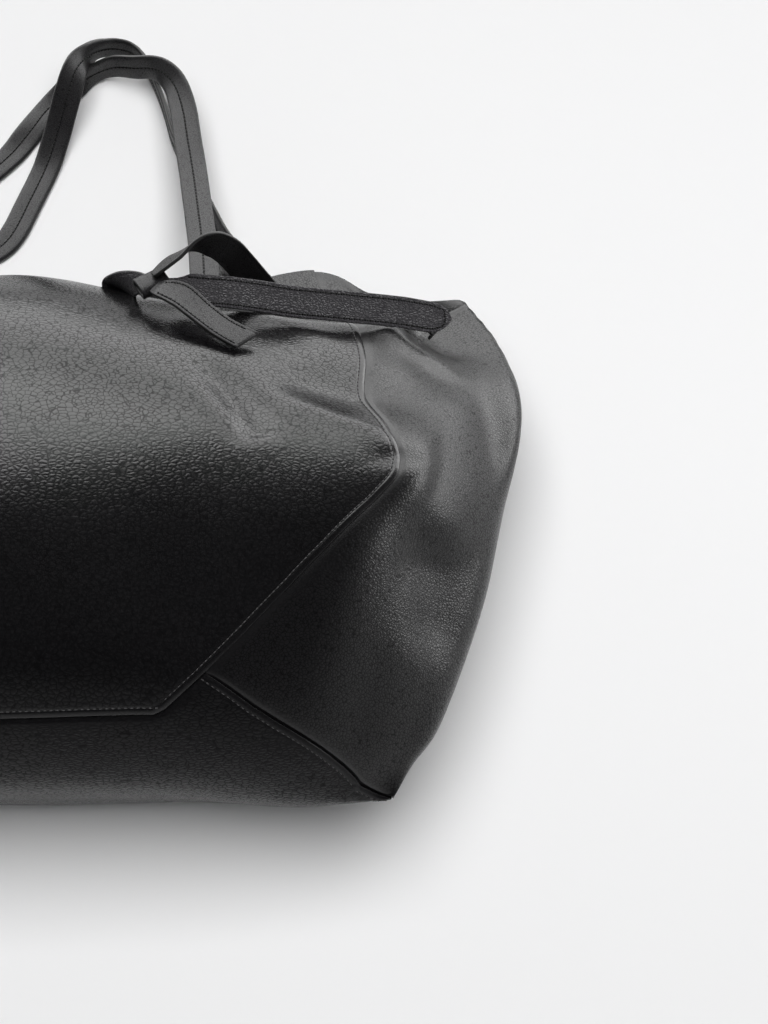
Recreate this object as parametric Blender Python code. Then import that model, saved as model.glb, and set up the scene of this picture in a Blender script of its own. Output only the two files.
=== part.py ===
"""A soft leather tote bag with two shoulder handles and two tie closures, lying on its back.

The body is one lofted skin, cut along its seams into a front panel, a back panel, two side gussets
and a base piece, with a lining behind each. X runs across the bag, Y from the base towards the
mouth, and Z up from the surface that the back panel lies on. Lengths are in metres.
"""
import bpy
import numpy as np

# Driving dimensions
WING_HALF_WIDTH = 0.275
BODY_LENGTH = 0.300
LYING_DEPTH = 0.165
BODY_SIZE = np.array([WING_HALF_WIDTH, BODY_LENGTH, LYING_DEPTH])

# Material thicknesses and running gaps
LEATHER_THICKNESS = 0.0016
LINING_THICKNESS = 0.0010
STRAP_THICKNESS = 0.0030
TIE_THICKNESS = 0.0022
LAYER_GAP = 0.0004
SEAM_GAP = 0.0003
END_GAP = 0.0012
ROOT_RUN = 0.008

# Strap and small-piece sizes
STRAP_WIDTH = 0.017
TIE_WIDTH = 0.017
KNOT_WIDTH = 0.017
KNOT_CLEARANCE = 0.0007
TAB_WIDTH = 0.008
TAB_THICKNESS = 0.0016

# The origin is on the resting surface, under the middle of the back panel
ORIGIN_LENGTH_SHARE = 0.56
ORIGIN = np.array([0.0, ORIGIN_LENGTH_SHARE * BODY_LENGTH, 0.0])

# Rails of the skin, from the base ridge to the mouth. Each point is its distance from the centre line,
# its distance from the base ridge and its height, as shares of the three driving dimensions.
FRONT_CENTRE_SHARES = [
    (0, 0, .424), (0, .015, .62), (0, .080, .80), (0, .190, .925), (0, .37, 1.0),
    (0, .56, 1.0), (0, .72, .95), (0, .86, .83), (0, .965, .655), (0, 1.0, .52)]
FRONT_HANDLE_SHARES = [
    (.33, 0, .424), (.33, .017, .62), (.33, .088, .80), (.33, .20, .915), (.335, .38, .975),
    (.34, .56, .965), (.34, .72, .885), (.34, .85, .765), (.335, .945, .62), (.33, .98, .49)]
FRONT_SEAM_SHARES = [
    (.55, .003, .424), (.565, .03, .60), (.58, .10, .73), (.61, .22, .83), (.67, .38, .87),
    (.753, .563, .806), (.702, .69, .72), (.70, .79, .655), (.685, .875, .58), (.67, .92, .50)]
PLEAT_CREST_SHARES = [
    (.66, .006, .427), (.685, .045, .545), (.705, .12, .63), (.745, .24, .695), (.79, .385, .71),
    (.845, .545, .70), (.86, .70, .60), (.84, .80, .52), (.785, .868, .515), (.745, .90, .53)]
PLEAT_VALLEY_SHARES = [
    (.715, .010, .43), (.75, .06, .49), (.785, .13, .53), (.83, .25, .56), (.87, .385, .565),
    (.925, .55, .55), (.935, .70, .50), (.91, .83, .44), (.84, .93, .34), (.80, 1.0, .26)]
WING_SHARES = [
    (.753, .013, .436), (.785, .07, .436), (.83, .13, .436), (.875, .235, .43), (.925, .38, .424),
    (.965, .55, .42), (1.0, .69, .42), (1.005, .81, .38), (.965, .95, .30), (.905, 1.06, .235)]
BACK_VALLEY_SHARES = [
    (.715, .010, .43), (.75, .065, .36), (.785, .14, .31), (.83, .25, .27), (.875, .39, .25),
    (.93, .56, .24), (.945, .72, .22), (.93, .85, .19), (.885, .98, .17), (.82, 1.085, .17)]
BACK_CREST_SHARES = [
    (.66, .006, .427), (.685, .055, .30), (.705, .14, .19), (.745, .25, .13), (.79, .39, .11),
    (.85, .56, .11), (.85, .73, .10), (.81, .87, .09), (.76, 1.0, .10), (.71, 1.12, .12)]
BACK_SEAM_SHARES = [
    (.55, .003, .424), (.565, .045, .24), (.58, .13, .10), (.61, .24, .03), (.67, .39, .01),
    (.74, .56, .01), (.70, .74, .01), (.66, .89, .02), (.62, 1.04, .05), (.585, 1.155, .10)]
BACK_HANDLE_SHARES = [
    (.33, 0, .424), (.33, .035, .22), (.33, .115, .06), (.33, .22, 0), (.335, .38, -.02),
    (.34, .56, -.02), (.34, .74, -.02), (.34, .89, -.01), (.335, 1.04, 0), (.33, 1.16, .03)]
BACK_CENTRE_SHARES = [
    (0, 0, .424), (0, .03, .22), (0, .11, .06), (0, .22, 0), (0, .38, -.02),
    (0, .56, -.02), (0, .74, -.02), (0, .89, -.01), (0, 1.04, 0), (0, 1.165, .02)]
RAIL_SHARES = [
    FRONT_CENTRE_SHARES, FRONT_HANDLE_SHARES, FRONT_SEAM_SHARES, PLEAT_CREST_SHARES,
    PLEAT_VALLEY_SHARES, WING_SHARES, BACK_VALLEY_SHARES, BACK_CREST_SHARES,
    BACK_SEAM_SHARES, BACK_HANDLE_SHARES, BACK_CENTRE_SHARES]

# Rail and station numbers that the seams follow
SEAM_RAIL = 2.0
WING_RAIL = 5.0
LAST_RAIL = 10.0
PANEL_STATION = 2.0
JUNCTION_STATION = 2.5
CORNER_STATION = 5.0
FACING_STATION = 8.0
MOUTH_STATION = 9.0
TIP_STATION = 0.3
LINING_TIP_STATION = 0.55

# The front panel's slanted edge, and the seam of base and gusset, as rail numbers along the stations
PANEL_EDGE_STATIONS = [2.0, 2.5, 3.3, 3.87, 5.0, 9.0]
PANEL_EDGE_RAILS = [1.0, 1.37, 1.67, 1.90, 2.0, 2.0]
BASE_SEAM_STATIONS = [0.0, 0.55, 1.5, 2.05, 2.5]
BASE_SEAM_RAILS = [5.0, 3.3, 2.24, 1.69, 1.37]

# Stations and rail shares at which the pieces are meshed
PANEL_STATIONS = [2.0, 2.5, 3.0, 4.0, 5.0, 6.0, 7.0, 8.0, 8.25, 8.5, 9.0]
SEAM_STATIONS = [2.5, 2.0, 1.5, 1.0, 0.55, 0.3]
PANEL_HALF_SHARES = [0, .27, .52, .61, .72, .85, 1]
GUSSET_HALF_STEPS = 6
BASE_STEPS = 8

# Shoulder handles: centre line of each strap, and the direction in which its width lies there. The places are
# shares of the driving dimensions, and the fourth number adds height as a share of the strap's width, for
# the stretches that lie on the table, flat or on edge, and pass over and under each other.
FRONT_HANDLE_ROUTE_SHARES = [
    ((.372, .990, .395, 0), (1, 0, 0)), ((.368, 1.03, .355, 0), (1, .1, .1)), ((.360, 1.101, .325, 0), (1, .1, .1)),
    ((.350, 1.185, .280, 0), (1, .1, .1)), ((.334, 1.285, .130, .97), (1, .2, 0)), ((.316, 1.394, .050, 1.31), (1, .2, 0)),
    ((.300, 1.479, 0, 1.67), (1, .2, .1)), ((.283, 1.556, 0, 1.65), (1, .4, .3)), ((.258, 1.613, 0, 1.65), (.7, .5, .6)),
    ((.229, 1.648, 0, 1.59), (.4, .5, .8)), ((.194, 1.675, 0, 1.35), (.1, .4, .9)), ((.164, 1.694, 0, 1.09), (0, .2, 1)),
    ((.117, 1.711, 0, .78), (0, .1, 1)), ((.079, 1.707, 0, .61), (0, 0, 1)), ((.045, 1.688, 0, .52), (-.3, .3, .8)),
    ((.004, 1.662, 0, .31), (-.6, .6, .4)), ((-.037, 1.617, 0, .20), (-.7, .6, .1)), ((-.075, 1.556, 0, .15), (-.8, .6, 0)),
    ((-.111, 1.502, 0, .15), (-.8, .6, 0)), ((-.170, 1.440, 0, .15), (-.7, .7, 0)), ((-.240, 1.370, 0, .18), (-.8, .6, 0)),
    ((-.310, 1.270, .070, 0), (-.9, .3, .2)), ((-.352, 1.170, .170, 0), (-1, .2, .1)), ((-.370, 1.080, .290, 0), (-1, 0, 0)),
    ((-.373, 1.02, .355, 0), (-1, 0, 0)), ((-.372, .990, .395, 0), (-1, 0, 0))]
BACK_HANDLE_ROUTE_SHARES = [
    ((.408, 1.200, .078, 0), (1, 0, .1)), ((.396, 1.240, .065, 0), (.7, .1, .6)), ((.375, 1.290, 0, .55), (.3, .1, .9)),
    ((.340, 1.376, 0, .55), (0, 0, 1)), ((.296, 1.452, 0, .55), (0, 0, 1)), ((.260, 1.529, 0, .55), (0, 0, 1)),
    ((.238, 1.602, 0, .55), (0, 0, 1)), ((.217, 1.660, 0, .55), (0, 0, 1)), ((.196, 1.708, 0, .55), (0, 0, 1)),
    ((.171, 1.745, 0, .56), (0, 0, 1)), ((.142, 1.765, 0, .59), (0, 0, 1)), ((.108, 1.770, 0, .70), (0, .1, 1)),
    ((.075, 1.757, 0, 1.02), (-.2, .2, .9)), ((.052, 1.721, 0, 1.60), (-.7, .3, .4)), ((.036, 1.668, 0, 1.78), (-.8, .3, .3)),
    ((.023, 1.622, 0, 1.44), (-.9, .2, .2)), ((.009, 1.575, 0, .97), (-1, .1, .1)), ((-.005, 1.535, 0, .56), (-1, .1, .1)),
    ((-.025, 1.472, 0, .20), (-1, .2, 0)), ((-.056, 1.385, 0, .15), (-1, .3, 0)), ((-.088, 1.302, 0, .15), (-.9, .4, 0)),
    ((-.125, 1.262, 0, .15), (-.7, .7, 0)), ((-.180, 1.245, 0, .15), (-.2, 1, 0)), ((-.250, 1.250, 0, .15), (0, 1, 0)),
    ((-.320, 1.250, 0, .19), (-.3, .9, .1)), ((-.375, 1.225, .034, 0), (-.8, .5, .1)), ((-.405, 1.200, .070, 0), (-1, .1, 0))]

# Tie closure: one strap from the front mouth through the knot, one from the back mouth over to it, and
# their free ends. The last number is the strap's width as a share of its full width. All of it is lifted
# off the panel by a share of the tie's thickness, so that the knot clears the panel.
FRONT_TIE_ROUTE_SHARES = [
    ((.202, 1.025, .407), (1, 0, 0), 1), ((.205, 1.032, .477), (1, 0, 0), 1), ((.211, 1.015, .567), (1, .1, .1), 1),
    ((.224, .968, .662), (.6, .6, .5), .85), ((.240, .925, .719), (.2, .8, .5), .55),
    ((.256, .911, .731), (0, .88, .47), .42), ((.288, .9075, .7315), (0, .88, .47), .40),
    ((.316, .9065, .727), (0, .88, .47), .42), ((.338, .904, .719), (0, .89, .45), .65),
    ((.362, .902, .711), (0, .90, .43), 1), ((.400, .901, .705), (0, .90, .43), 1),
    ((.437, .900, .699), (0, .90, .43), 1)]
TIE_END_ROUTE_SHARES = [
    ((.439, .900, .699), (0, .90, .43), 1), ((.500, .897, .685), (0, .89, .45), 1), ((.552, .894, .67), (0, .88, .47), 1),
    ((.610, .896, .647), (0, .88, .47), 1), ((.668, .899, .622), (0, .88, .47), 1), ((.766, .904, .579), (0, .88, .47), 1),
    ((.825, .904, .549), (0, .88, .47), 1), ((.850, .905, .538), (0, .88, .47), .7), ((.866, .906, .53), (0, .88, .47), .12)]
BACK_TIE_ROUTE_SHARES = [
    ((.483, 1.105, .097), (1, 0, 0), 1), ((.483, 1.092, .207), (.9, .3, .2), 1),
    ((.474, 1.045, .397), (.8, .4, .4), 1), ((.457, 1.015, .567), (.7, .4, .6), 1), ((.433, .998, .702), (.5, .3, .8), 1),
    ((.402, .995, .767), (.1, .3, .95), 1), ((.366, .985, .795), (-.2, .4, .9), .9), ((.333, .962, .801), (-.5, .6, .6), .7),
    ((.306, .938, .791), (-.7, .6, .3), .55)]
TIE_TAIL_ROUTE_SHARES = [
    ((.313, .878, .779), (.6, .75, .1), .7), ((.348, .858, .801), (.6, .79, 0), 1), ((.387, .821, .815), (.62, .78, 0), 1),
    ((.430, .789, .809), (.6, .8, 0), 1), ((.477, .767, .793), (.6, .8, 0), 1)]
KNOT_CENTRE_SHARES = (.288, .9075, .7315)

# Where the tail leaves the knot and the back tie meets it, as shares of half the
# knot's width, height and depth
TAIL_ROOT_SHARES = (.26, -.46, 1.62)
TAIL_ROOT_TOWARD = (.65, .76, 0)
ARCH_END_SHARES = (.20, 1.28, 1.22)
ARCH_END_TOWARD = (-.8, .5, .2)
PINCHED_WIDTH_SHARE = 0.45

GUSSET_TAB_ROUTE_SHARES = [
    ((.834, .947, .347), (.5, .75, -.4)), ((.836, .946, .374), (.5, .75, -.4)), ((.828, .948, .388), (.5, .75, -.4)),
    ((.812, .962, .385), (.5, .75, -.4)), ((.803, .975, .360), (.5, .75, -.4)), ((.801, .983, .338), (.5, .75, -.4))]

# Where the moving straps bend: the handles together at the mouth, and the free ends beside the knot
HANDLE_PIVOT_SHARES = (0, 1.0333, .2727)
HANDLE_PIVOT = np.array(HANDLE_PIVOT_SHARES) * BODY_SIZE
TIE_LIFT_SHARE = 2.5
TIE_LIFT = np.array([0, 0, TIE_LIFT_SHARE * TIE_THICKNESS])
TIE_FACE = np.array([0, -.43, .90])
TIE_END_PIVOT = np.array(TIE_END_ROUTE_SHARES[0][0]) * BODY_SIZE + TIE_LIFT + TIE_FACE * TIE_THICKNESS / 2

# Sewn ends of the handles, inside the mouth facings, and the pocket on the back lining
FRONT_END_RAILS = [1.04, 1.22]
BACK_END_RAILS = [1.22, 1.44]
FRONT_TIE_RAIL = 0.606
BACK_TIE_RAIL = 1.60
FRONT_TIE_STATIONS = [8.25, 8.5, 9.0]
BACK_TIE_STATIONS = [8.15, 8.45]
SEWN_STATION = 8.25
POCKET_RAILS = [-.75, -.4, 0, .4, .75]
POCKET_STATIONS = [5.6, 6.2, 6.9, 7.6]

STRAP_STEPS_PER_SPAN = 2
RAIL_STEP = 0.1

LEATHER_COLOUR = (0.018, 0.017, 0.019, 1.0)
LINING_COLOUR = (0.030, 0.028, 0.030, 1.0)


def clear_scene():
    """Remove what the file opened with."""
    for item in list(bpy.data.objects):
        bpy.data.objects.remove(item, do_unlink=True)


def make_material(name, colour, roughness):
    """A plain leather or lining finish."""
    material = bpy.data.materials.new(name)
    material.use_nodes = True
    shader = material.node_tree.nodes["Principled BSDF"]
    shader.inputs["Base Color"].default_value = colour
    shader.inputs["Roughness"].default_value = roughness
    shader.inputs["Metallic"].default_value = 0
    return material


def skin_net():
    """The rails as a net of points, with one more line on each side so that the surface can be smooth there."""
    net = np.array(RAIL_SHARES).transpose(1, 0, 2) * BODY_SIZE
    mirror = np.array([-1, 1, 1])
    rows, rails = net.shape[:2]
    padded = np.empty((rows + 2, rails + 2, 3))
    padded[1:-1, 1:-1] = net
    padded[0, 1:-1] = net[1, ::-1]
    padded[-1, 1:-1] = 2 * net[-1] - net[-2]
    padded[:, 0] = padded[:, 2] * mirror
    padded[:, -1] = padded[:, -3] * mirror
    return padded


NET = skin_net()


def spline_weights(share):
    """Weights of the four neighbours in a smooth curve through all of them."""
    square = share * share
    cube = square * share
    return 0.5 * np.stack([
        2 * square - share - cube, 2 - 5 * square + 3 * cube, share + 4 * square - 3 * cube, cube - square], -1)


def skin_point(rail, station):
    """Point of the skin on the right half, by rail number and station number, pressed flat on the table."""
    row = np.clip(np.floor(station), 0, NET.shape[0] - 4).astype(int)
    column = np.clip(np.floor(rail), 0, NET.shape[1] - 4).astype(int)
    along = spline_weights(station - row)
    across = spline_weights(rail - column)
    total = 0
    for i in range(4):
        for j in range(4):
            total = total + (along[..., i] * across[..., j])[..., None] * NET[row + i, column + j]
    total[..., 2] = np.maximum(total[..., 2], 0)
    return total


def skin(rail, station):
    """Points and outward normals. A negative rail number is on the left half, and a negative station on the back."""
    rail = np.asarray(rail, float)
    station = np.asarray(station, float)
    side = np.where(rail < 0, -1.0, 1.0)
    around = np.where(station < 0, LAST_RAIL - abs(rail), abs(rail))
    level = abs(station)
    step = 0.02
    point = skin_point(around, level)
    across = skin_point(around + step, level) - skin_point(around - step, level)
    along = skin_point(around, level + step) - skin_point(around, level - step)
    normal = np.cross(across, along)
    normal /= np.linalg.norm(normal, axis=-1, keepdims=True)
    flip = np.stack([side, np.ones_like(side), np.ones_like(side)], -1)
    return point * flip, normal * flip


def mesh_object(name, points, faces, material, pivot=ORIGIN):
    """A closed body of its own, with its origin at its pivot."""
    mesh = bpy.data.meshes.new(name)
    mesh.from_pydata([tuple(point) for point in points - pivot], [], faces)
    mesh.validate()
    body = bpy.data.objects.new(name, mesh)
    body.location = pivot - ORIGIN
    bpy.context.collection.objects.link(body)
    mesh.materials.append(material)
    mesh.shade_smooth()
    return body


def split(first, second, third, fourth):
    """Two triangles, cut between the first corner and the third."""
    return [(first, second, third), (first, third, fourth)]


def turned_over(faces, turned):
    """The same faces, seen from the other side where they have to be."""
    if turned:
        return [face[::-1] for face in faces]
    return faces


def sheet_faces(rows, columns, mirrored_cells):
    """Faces of a closed sheet whose outer points come first and whose inner points follow."""
    count = rows * columns
    faces = []
    for i in range(rows - 1):
        for j in range(columns - 1):
            a = i * columns + j
            outer = split(a, a + 1, a + columns + 1, a + columns)
            if mirrored_cells[i, j]:
                outer = split(a + 1, a + columns + 1, a + columns, a)
            faces += outer
            faces += [tuple(count + k for k in face[::-1]) for face in outer]
    for i in range(rows - 1):
        for j, turned in ((0, False), (columns - 1, True)):
            a = i * columns + j
            faces += turned_over(split(a, a + columns, a + columns + count, a + count), turned)
    for j in range(columns - 1):
        for i, turned in ((0, True), (rows - 1, False)):
            a = i * columns + j
            faces += turned_over(split(a, a + 1, a + 1 + count, a + count), turned)
    return faces


def draw_in(grid, amount):
    """Move each edge of a grid of points inwards by an amount, which leaves the gap of a seam."""
    for edge, inner in ((0, 1), (-1, -2)):
        for line, neighbour in ((grid[edge], grid[inner]), (grid[:, edge], grid[:, inner])):
            step = neighbour - line
            line += step * (amount / np.linalg.norm(step, axis=-1, keepdims=True))
    return grid


def sheet(name, rails, stations, outer, thickness, material, turned=False):
    """A sheet of leather or lining that follows the skin, with its outer face sunk below it by a depth."""
    points, normals = skin(rails, stations)
    mirrored_cells = rails * rails[-1, -1] < 0
    faces = turned_over(sheet_faces(*points.shape[:2], mirrored_cells), turned)
    layers = []
    for depth in (outer, outer + thickness):
        layers.append(draw_in(points - normals * depth, SEAM_GAP / 2).reshape(-1, 3))
    return mesh_object(name, np.concatenate(layers), faces, material)


def both_sides(values):
    """Values from the centre line outwards, with the same ones below zero on the left."""
    return np.array([-value for value in values[:0:-1]] + list(values))


def panel_grid(stations):
    """Rail and station numbers of the front panel, from its left edge to its right."""
    edges = np.interp(stations, PANEL_EDGE_STATIONS, PANEL_EDGE_RAILS)
    shares = both_sides(PANEL_HALF_SHARES)
    return edges[:, None] * shares, np.repeat(np.array(stations)[:, None], len(shares), 1)


def gusset_grid(first_station, top_station):
    """Rail and station numbers of the right gusset, from the front seam round the wing to the back seam."""
    low = [station for station in reversed(SEAM_STATIONS) if station >= first_station]
    high = [station for station in PANEL_STATIONS if JUNCTION_STATION < station <= top_station]
    stations = np.array(low + high)
    edges = np.where(stations <= JUNCTION_STATION, np.interp(stations, BASE_SEAM_STATIONS, BASE_SEAM_RAILS),
                     np.interp(stations, PANEL_EDGE_STATIONS, PANEL_EDGE_RAILS))
    shares = np.linspace(0, 1, GUSSET_HALF_STEPS + 1)
    front = edges[:, None] + (WING_RAIL - edges[:, None]) * shares
    rails = np.concatenate([front, front[:, -2::-1]], 1)
    signs = np.concatenate([np.ones(len(shares)), -np.ones(len(shares) - 1)])
    return rails, stations[:, None] * signs


def base_grid(first_station):
    """Rail and station numbers of the base piece: each line runs from its front edge over the ridge to its back."""
    seam = [station for station in SEAM_STATIONS if station >= first_station]
    rails = both_sides(PANEL_HALF_SHARES + list(np.interp(seam, BASE_SEAM_STATIONS, BASE_SEAM_RAILS)))
    tops = [PANEL_STATION] * len(PANEL_HALF_SHARES) + seam
    tops = np.array(tops[:0:-1] + tops)
    shares = np.linspace(-1, 1, BASE_STEPS + 1)
    return np.repeat(rails[:, None], len(shares), 1), tops[:, None] * shares


def mirrored(rails):
    """The same place on the left half."""
    return -rails


def body_pieces(prefix, suffix, outer, thickness, top_station, tip_station, material):
    """The five pieces of one layer of the body: two panels, two gussets and the base."""
    stations = [station for station in PANEL_STATIONS if station <= top_station]
    rails, levels = panel_grid(stations)
    sheet(prefix + "front_panel" + suffix, rails, levels, outer, thickness, material)
    sheet(prefix + "back_panel" + suffix, rails, -levels, outer, thickness, material, turned=True)
    rails, levels = base_grid(tip_station)
    sheet(prefix + "base" + suffix, rails, levels, outer, thickness, material, turned=True)
    rails, levels = gusset_grid(tip_station, top_station)
    sheet(prefix + "right_gusset" + suffix, rails, levels, outer, thickness, material)
    sheet(prefix + "left_gusset" + suffix, mirrored(rails), levels, outer, thickness, material, turned=True)


def smooth_line(values, steps):
    """A smooth curve through all the values, with some steps in each span."""
    values = np.asarray(values, float)
    ends = np.concatenate([[2 * values[0] - values[1]], values, [2 * values[-1] - values[-2]]])
    shares = np.linspace(0, 1, steps, endpoint=False)
    line = [spline_weights(shares) @ ends[i:i + 4] for i in range(len(values) - 1)]
    return np.concatenate(line + [values[-1:]])


def unit(vectors):
    return vectors / np.linalg.norm(vectors, axis=-1, keepdims=True)


def strap_points(centres, widths, thickness, closed):
    """The four corners of the strap at each point of its centre line."""
    line, toward, half = centres[:, :3], widths[:, :3], widths[:, 3:] / 2
    if closed:
        along = unit(np.roll(line, -1, 0) - np.roll(line, 1, 0))
    else:
        along = unit(np.gradient(line, axis=0))
    across = unit(toward - along * (toward * along).sum(-1, keepdims=True))
    up = np.cross(along, across) * thickness / 2
    return np.stack([line + across * half + up, line - across * half + up,
                     line - across * half - up, line + across * half - up], 1)


def strap_faces(count, closed):
    faces = []
    for i in range(count if closed else count - 1):
        a, b = 4 * i, 4 * ((i + 1) % count)
        for k, m in ((0, 1), (1, 2)):
            faces += split(a + k, a + m, b + m, b + k)
        for k, m in ((2, 3), (3, 0)):
            faces += split(a + m, b + m, b + k, a + k)
    if not closed:
        last = 4 * (count - 1)
        faces += split(3, 2, 1, 0)
        faces += split(last, last + 1, last + 2, last + 3)
    return faces


def root_row(rail, station, depth, beyond=0.0):
    """A place on the inside of the skin, at a depth, moved on past the mouth edge by a distance."""
    point, normal = skin(rail, station)
    further = skin(rail + RAIL_STEP, station)[0]
    along = unit(point - skin(rail, station - RAIL_STEP * np.sign(station))[0])
    return point - normal * depth + along * beyond, unit(further - point)


def handle_rows(route):
    """Places, width directions and width shares of a handle."""
    return [(np.array(place[:3]) * BODY_SIZE + [0, 0, place[3] * STRAP_WIDTH], toward, 1) for place, toward in route]


def tie_rows(route):
    """Places, width directions and width shares of a tie."""
    return [(np.array(place) * BODY_SIZE + TIE_LIFT, toward, share) for place, toward, share in route]


def strap(name, rows, width, thickness, material, side=1, pivot=ORIGIN):
    """A flat strap along rows of places, width directions and width shares."""
    places = np.array([row[0] for row in rows])
    across = np.array([[*row[1], row[2] * width] for row in rows])
    corners = strap_points(smooth_line(places, STRAP_STEPS_PER_SPAN), smooth_line(across, STRAP_STEPS_PER_SPAN),
                           thickness, False)
    corners[..., 0] *= side
    faces = turned_over(strap_faces(len(corners), False), side < 0)
    return mesh_object(name, corners.reshape(-1, 3), faces, material, pivot * [side, 1, 1])


def handle_roots(end_rails, way, depth, side):
    """Two places at which a handle leaves its sewn end at the mouth edge."""
    rail = sum(end_rails) / len(end_rails)
    rows = []
    for beyond in (END_GAP, ROOT_RUN):
        place, toward = root_row(rail, MOUTH_STATION * way, depth, beyond)
        rows.append((place * [side, 1, 1], toward * [1, side, side] * side, 1))
    return rows


def knot_frame():
    """The knot's centre, the directions of its width, height and depth, and half its size inside the band."""
    centre = np.array(KNOT_CENTRE_SHARES) * BODY_SIZE + TIE_LIFT
    directions = np.array([[1, 0, 0], [0, .88, .47], [0, -.47, .88]])
    height = TIE_WIDTH * PINCHED_WIDTH_SHARE / 2 + KNOT_CLEARANCE
    depth = TIE_THICKNESS / 2 + KNOT_CLEARANCE
    return centre, directions, np.array([KNOT_WIDTH / 2, height, depth])


def knot_place(shares):
    """A place on or near the knot, as shares of its half width and its outer half height and half depth."""
    centre, directions, inner = knot_frame()
    outer = inner + [0, TIE_THICKNESS, TIE_THICKNESS]
    return centre + (np.array(shares) * outer) @ directions


def knot(name, material, side):
    """The wrap of the back strap round the front strap, as a flat closed band."""
    centre, directions, inner = knot_frame()
    middle = inner + TIE_THICKNESS / 2
    turns = [(1, -1), (1, 1), (-1, 1), (-1, -1)]
    line = np.array([centre + directions[1] * middle[1] * a + directions[2] * middle[2] * b for a, b in turns])
    widths = np.array([[1, 0, 0, KNOT_WIDTH]] * len(turns), float)
    corners = strap_points(line, widths, TIE_THICKNESS, True)
    corners[..., 0] *= side
    faces = turned_over(strap_faces(len(corners), True), side < 0)
    return mesh_object(name, corners.reshape(-1, 3), faces, material)


def patch(name, rails, stations, outer, thickness, material, turned=False):
    """A small sheet that covers the given rails and stations."""
    rails = np.repeat(np.array(rails)[None], len(stations), 0)
    levels = np.repeat(np.array(stations)[:, None], rails.shape[1], 1)
    return sheet(name, rails, levels, outer, thickness, material, turned)


def build():
    clear_scene()
    leather = make_material("grained_leather", LEATHER_COLOUR, 0.45)
    strap_leather = make_material("strap_leather", LEATHER_COLOUR, 0.5)
    lining = make_material("suede_lining", LINING_COLOUR, 0.85)

    body_pieces("", "", 0, LEATHER_THICKNESS, MOUTH_STATION, TIP_STATION, leather)
    inside = LEATHER_THICKNESS + LAYER_GAP
    body_pieces("", "_lining", inside, LINING_THICKNESS, FACING_STATION, LINING_TIP_STATION, lining)

    sewn = inside + LINING_THICKNESS + LAYER_GAP
    facing_rails = SEAM_RAIL * both_sides(PANEL_HALF_SHARES)
    for word, way, end in (("front", 1, FRONT_END_RAILS), ("back", -1, BACK_END_RAILS)):
        stations = [station * way for station in PANEL_STATIONS if station >= FACING_STATION]
        patch(word + "_facing", facing_rails, stations, inside, LINING_THICKNESS, leather, way < 0)
        stations = [station * way for station in PANEL_STATIONS if station >= SEWN_STATION]
        for label, side in (("right", 1), ("left", -1)):
            rails = [side * rail for rail in end]
            patch(label + "_" + word + "_handle_end", rails, stations, sewn, STRAP_THICKNESS, strap_leather,
                  way * side < 0)
    patch("inner_pocket", POCKET_RAILS, [-station for station in POCKET_STATIONS], sewn, LINING_THICKNESS,
          lining, True)

    depth = sewn + STRAP_THICKNESS / 2
    for word, way, route, end in (("front", 1, FRONT_HANDLE_ROUTE_SHARES, FRONT_END_RAILS),
                                  ("back", -1, BACK_HANDLE_ROUTE_SHARES, BACK_END_RAILS)):
        rows = handle_roots(end, way, depth, 1) + handle_rows(route) + handle_roots(end, way, depth, -1)[::-1]
        strap(word + "_handle", rows, STRAP_WIDTH, STRAP_THICKNESS, strap_leather, pivot=HANDLE_PIVOT)
    depth = sewn + LAYER_GAP + TIE_THICKNESS / 2
    front_root = [(*root_row(FRONT_TIE_RAIL, station, depth), 1) for station in FRONT_TIE_STATIONS]
    back_root = [(*root_row(BACK_TIE_RAIL, -station, depth + 2 * LAYER_GAP), 1) for station in BACK_TIE_STATIONS]
    front_tie = front_root + tie_rows(FRONT_TIE_ROUTE_SHARES)
    arch_end = (knot_place(ARCH_END_SHARES), ARCH_END_TOWARD, PINCHED_WIDTH_SHARE)
    back_tie = back_root + tie_rows(BACK_TIE_ROUTE_SHARES) + [arch_end]
    tie_end = tie_rows(TIE_END_ROUTE_SHARES)
    tail_root = (knot_place(TAIL_ROOT_SHARES), TAIL_ROOT_TOWARD, PINCHED_WIDTH_SHARE)
    tie_tail = [tail_root] + tie_rows(TIE_TAIL_ROUTE_SHARES)
    tab = [(np.array(place) * BODY_SIZE, toward, 1) for place, toward in GUSSET_TAB_ROUTE_SHARES]
    for word, side in (("right", 1), ("left", -1)):
        strap(word + "_front_tie", front_tie, TIE_WIDTH, TIE_THICKNESS, strap_leather, side)
        strap(word + "_tie_end", tie_end, TIE_WIDTH, TIE_THICKNESS, strap_leather, side, TIE_END_PIVOT)
        strap(word + "_back_tie", back_tie, TIE_WIDTH, TIE_THICKNESS, strap_leather, side)
        strap(word + "_tie_tail", tie_tail, TIE_WIDTH, TIE_THICKNESS, strap_leather, side, tail_root[0])
        knot(word + "_tie_knot", strap_leather, side)
        strap(word + "_gusset_tab", tab, TAB_WIDTH, TAB_THICKNESS, strap_leather, side)


build()
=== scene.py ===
"""Looks of a soft leather tote bag lying on its back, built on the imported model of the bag.

The leather body is one lofted skin, cut along its seams into panels, gussets and a base. X runs across
the bag, Y from the base towards the mouth, and Z up from the table. Lengths are in metres.
"""

import math

import bpy
import numpy as np
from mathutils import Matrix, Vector, kdtree, noise


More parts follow.
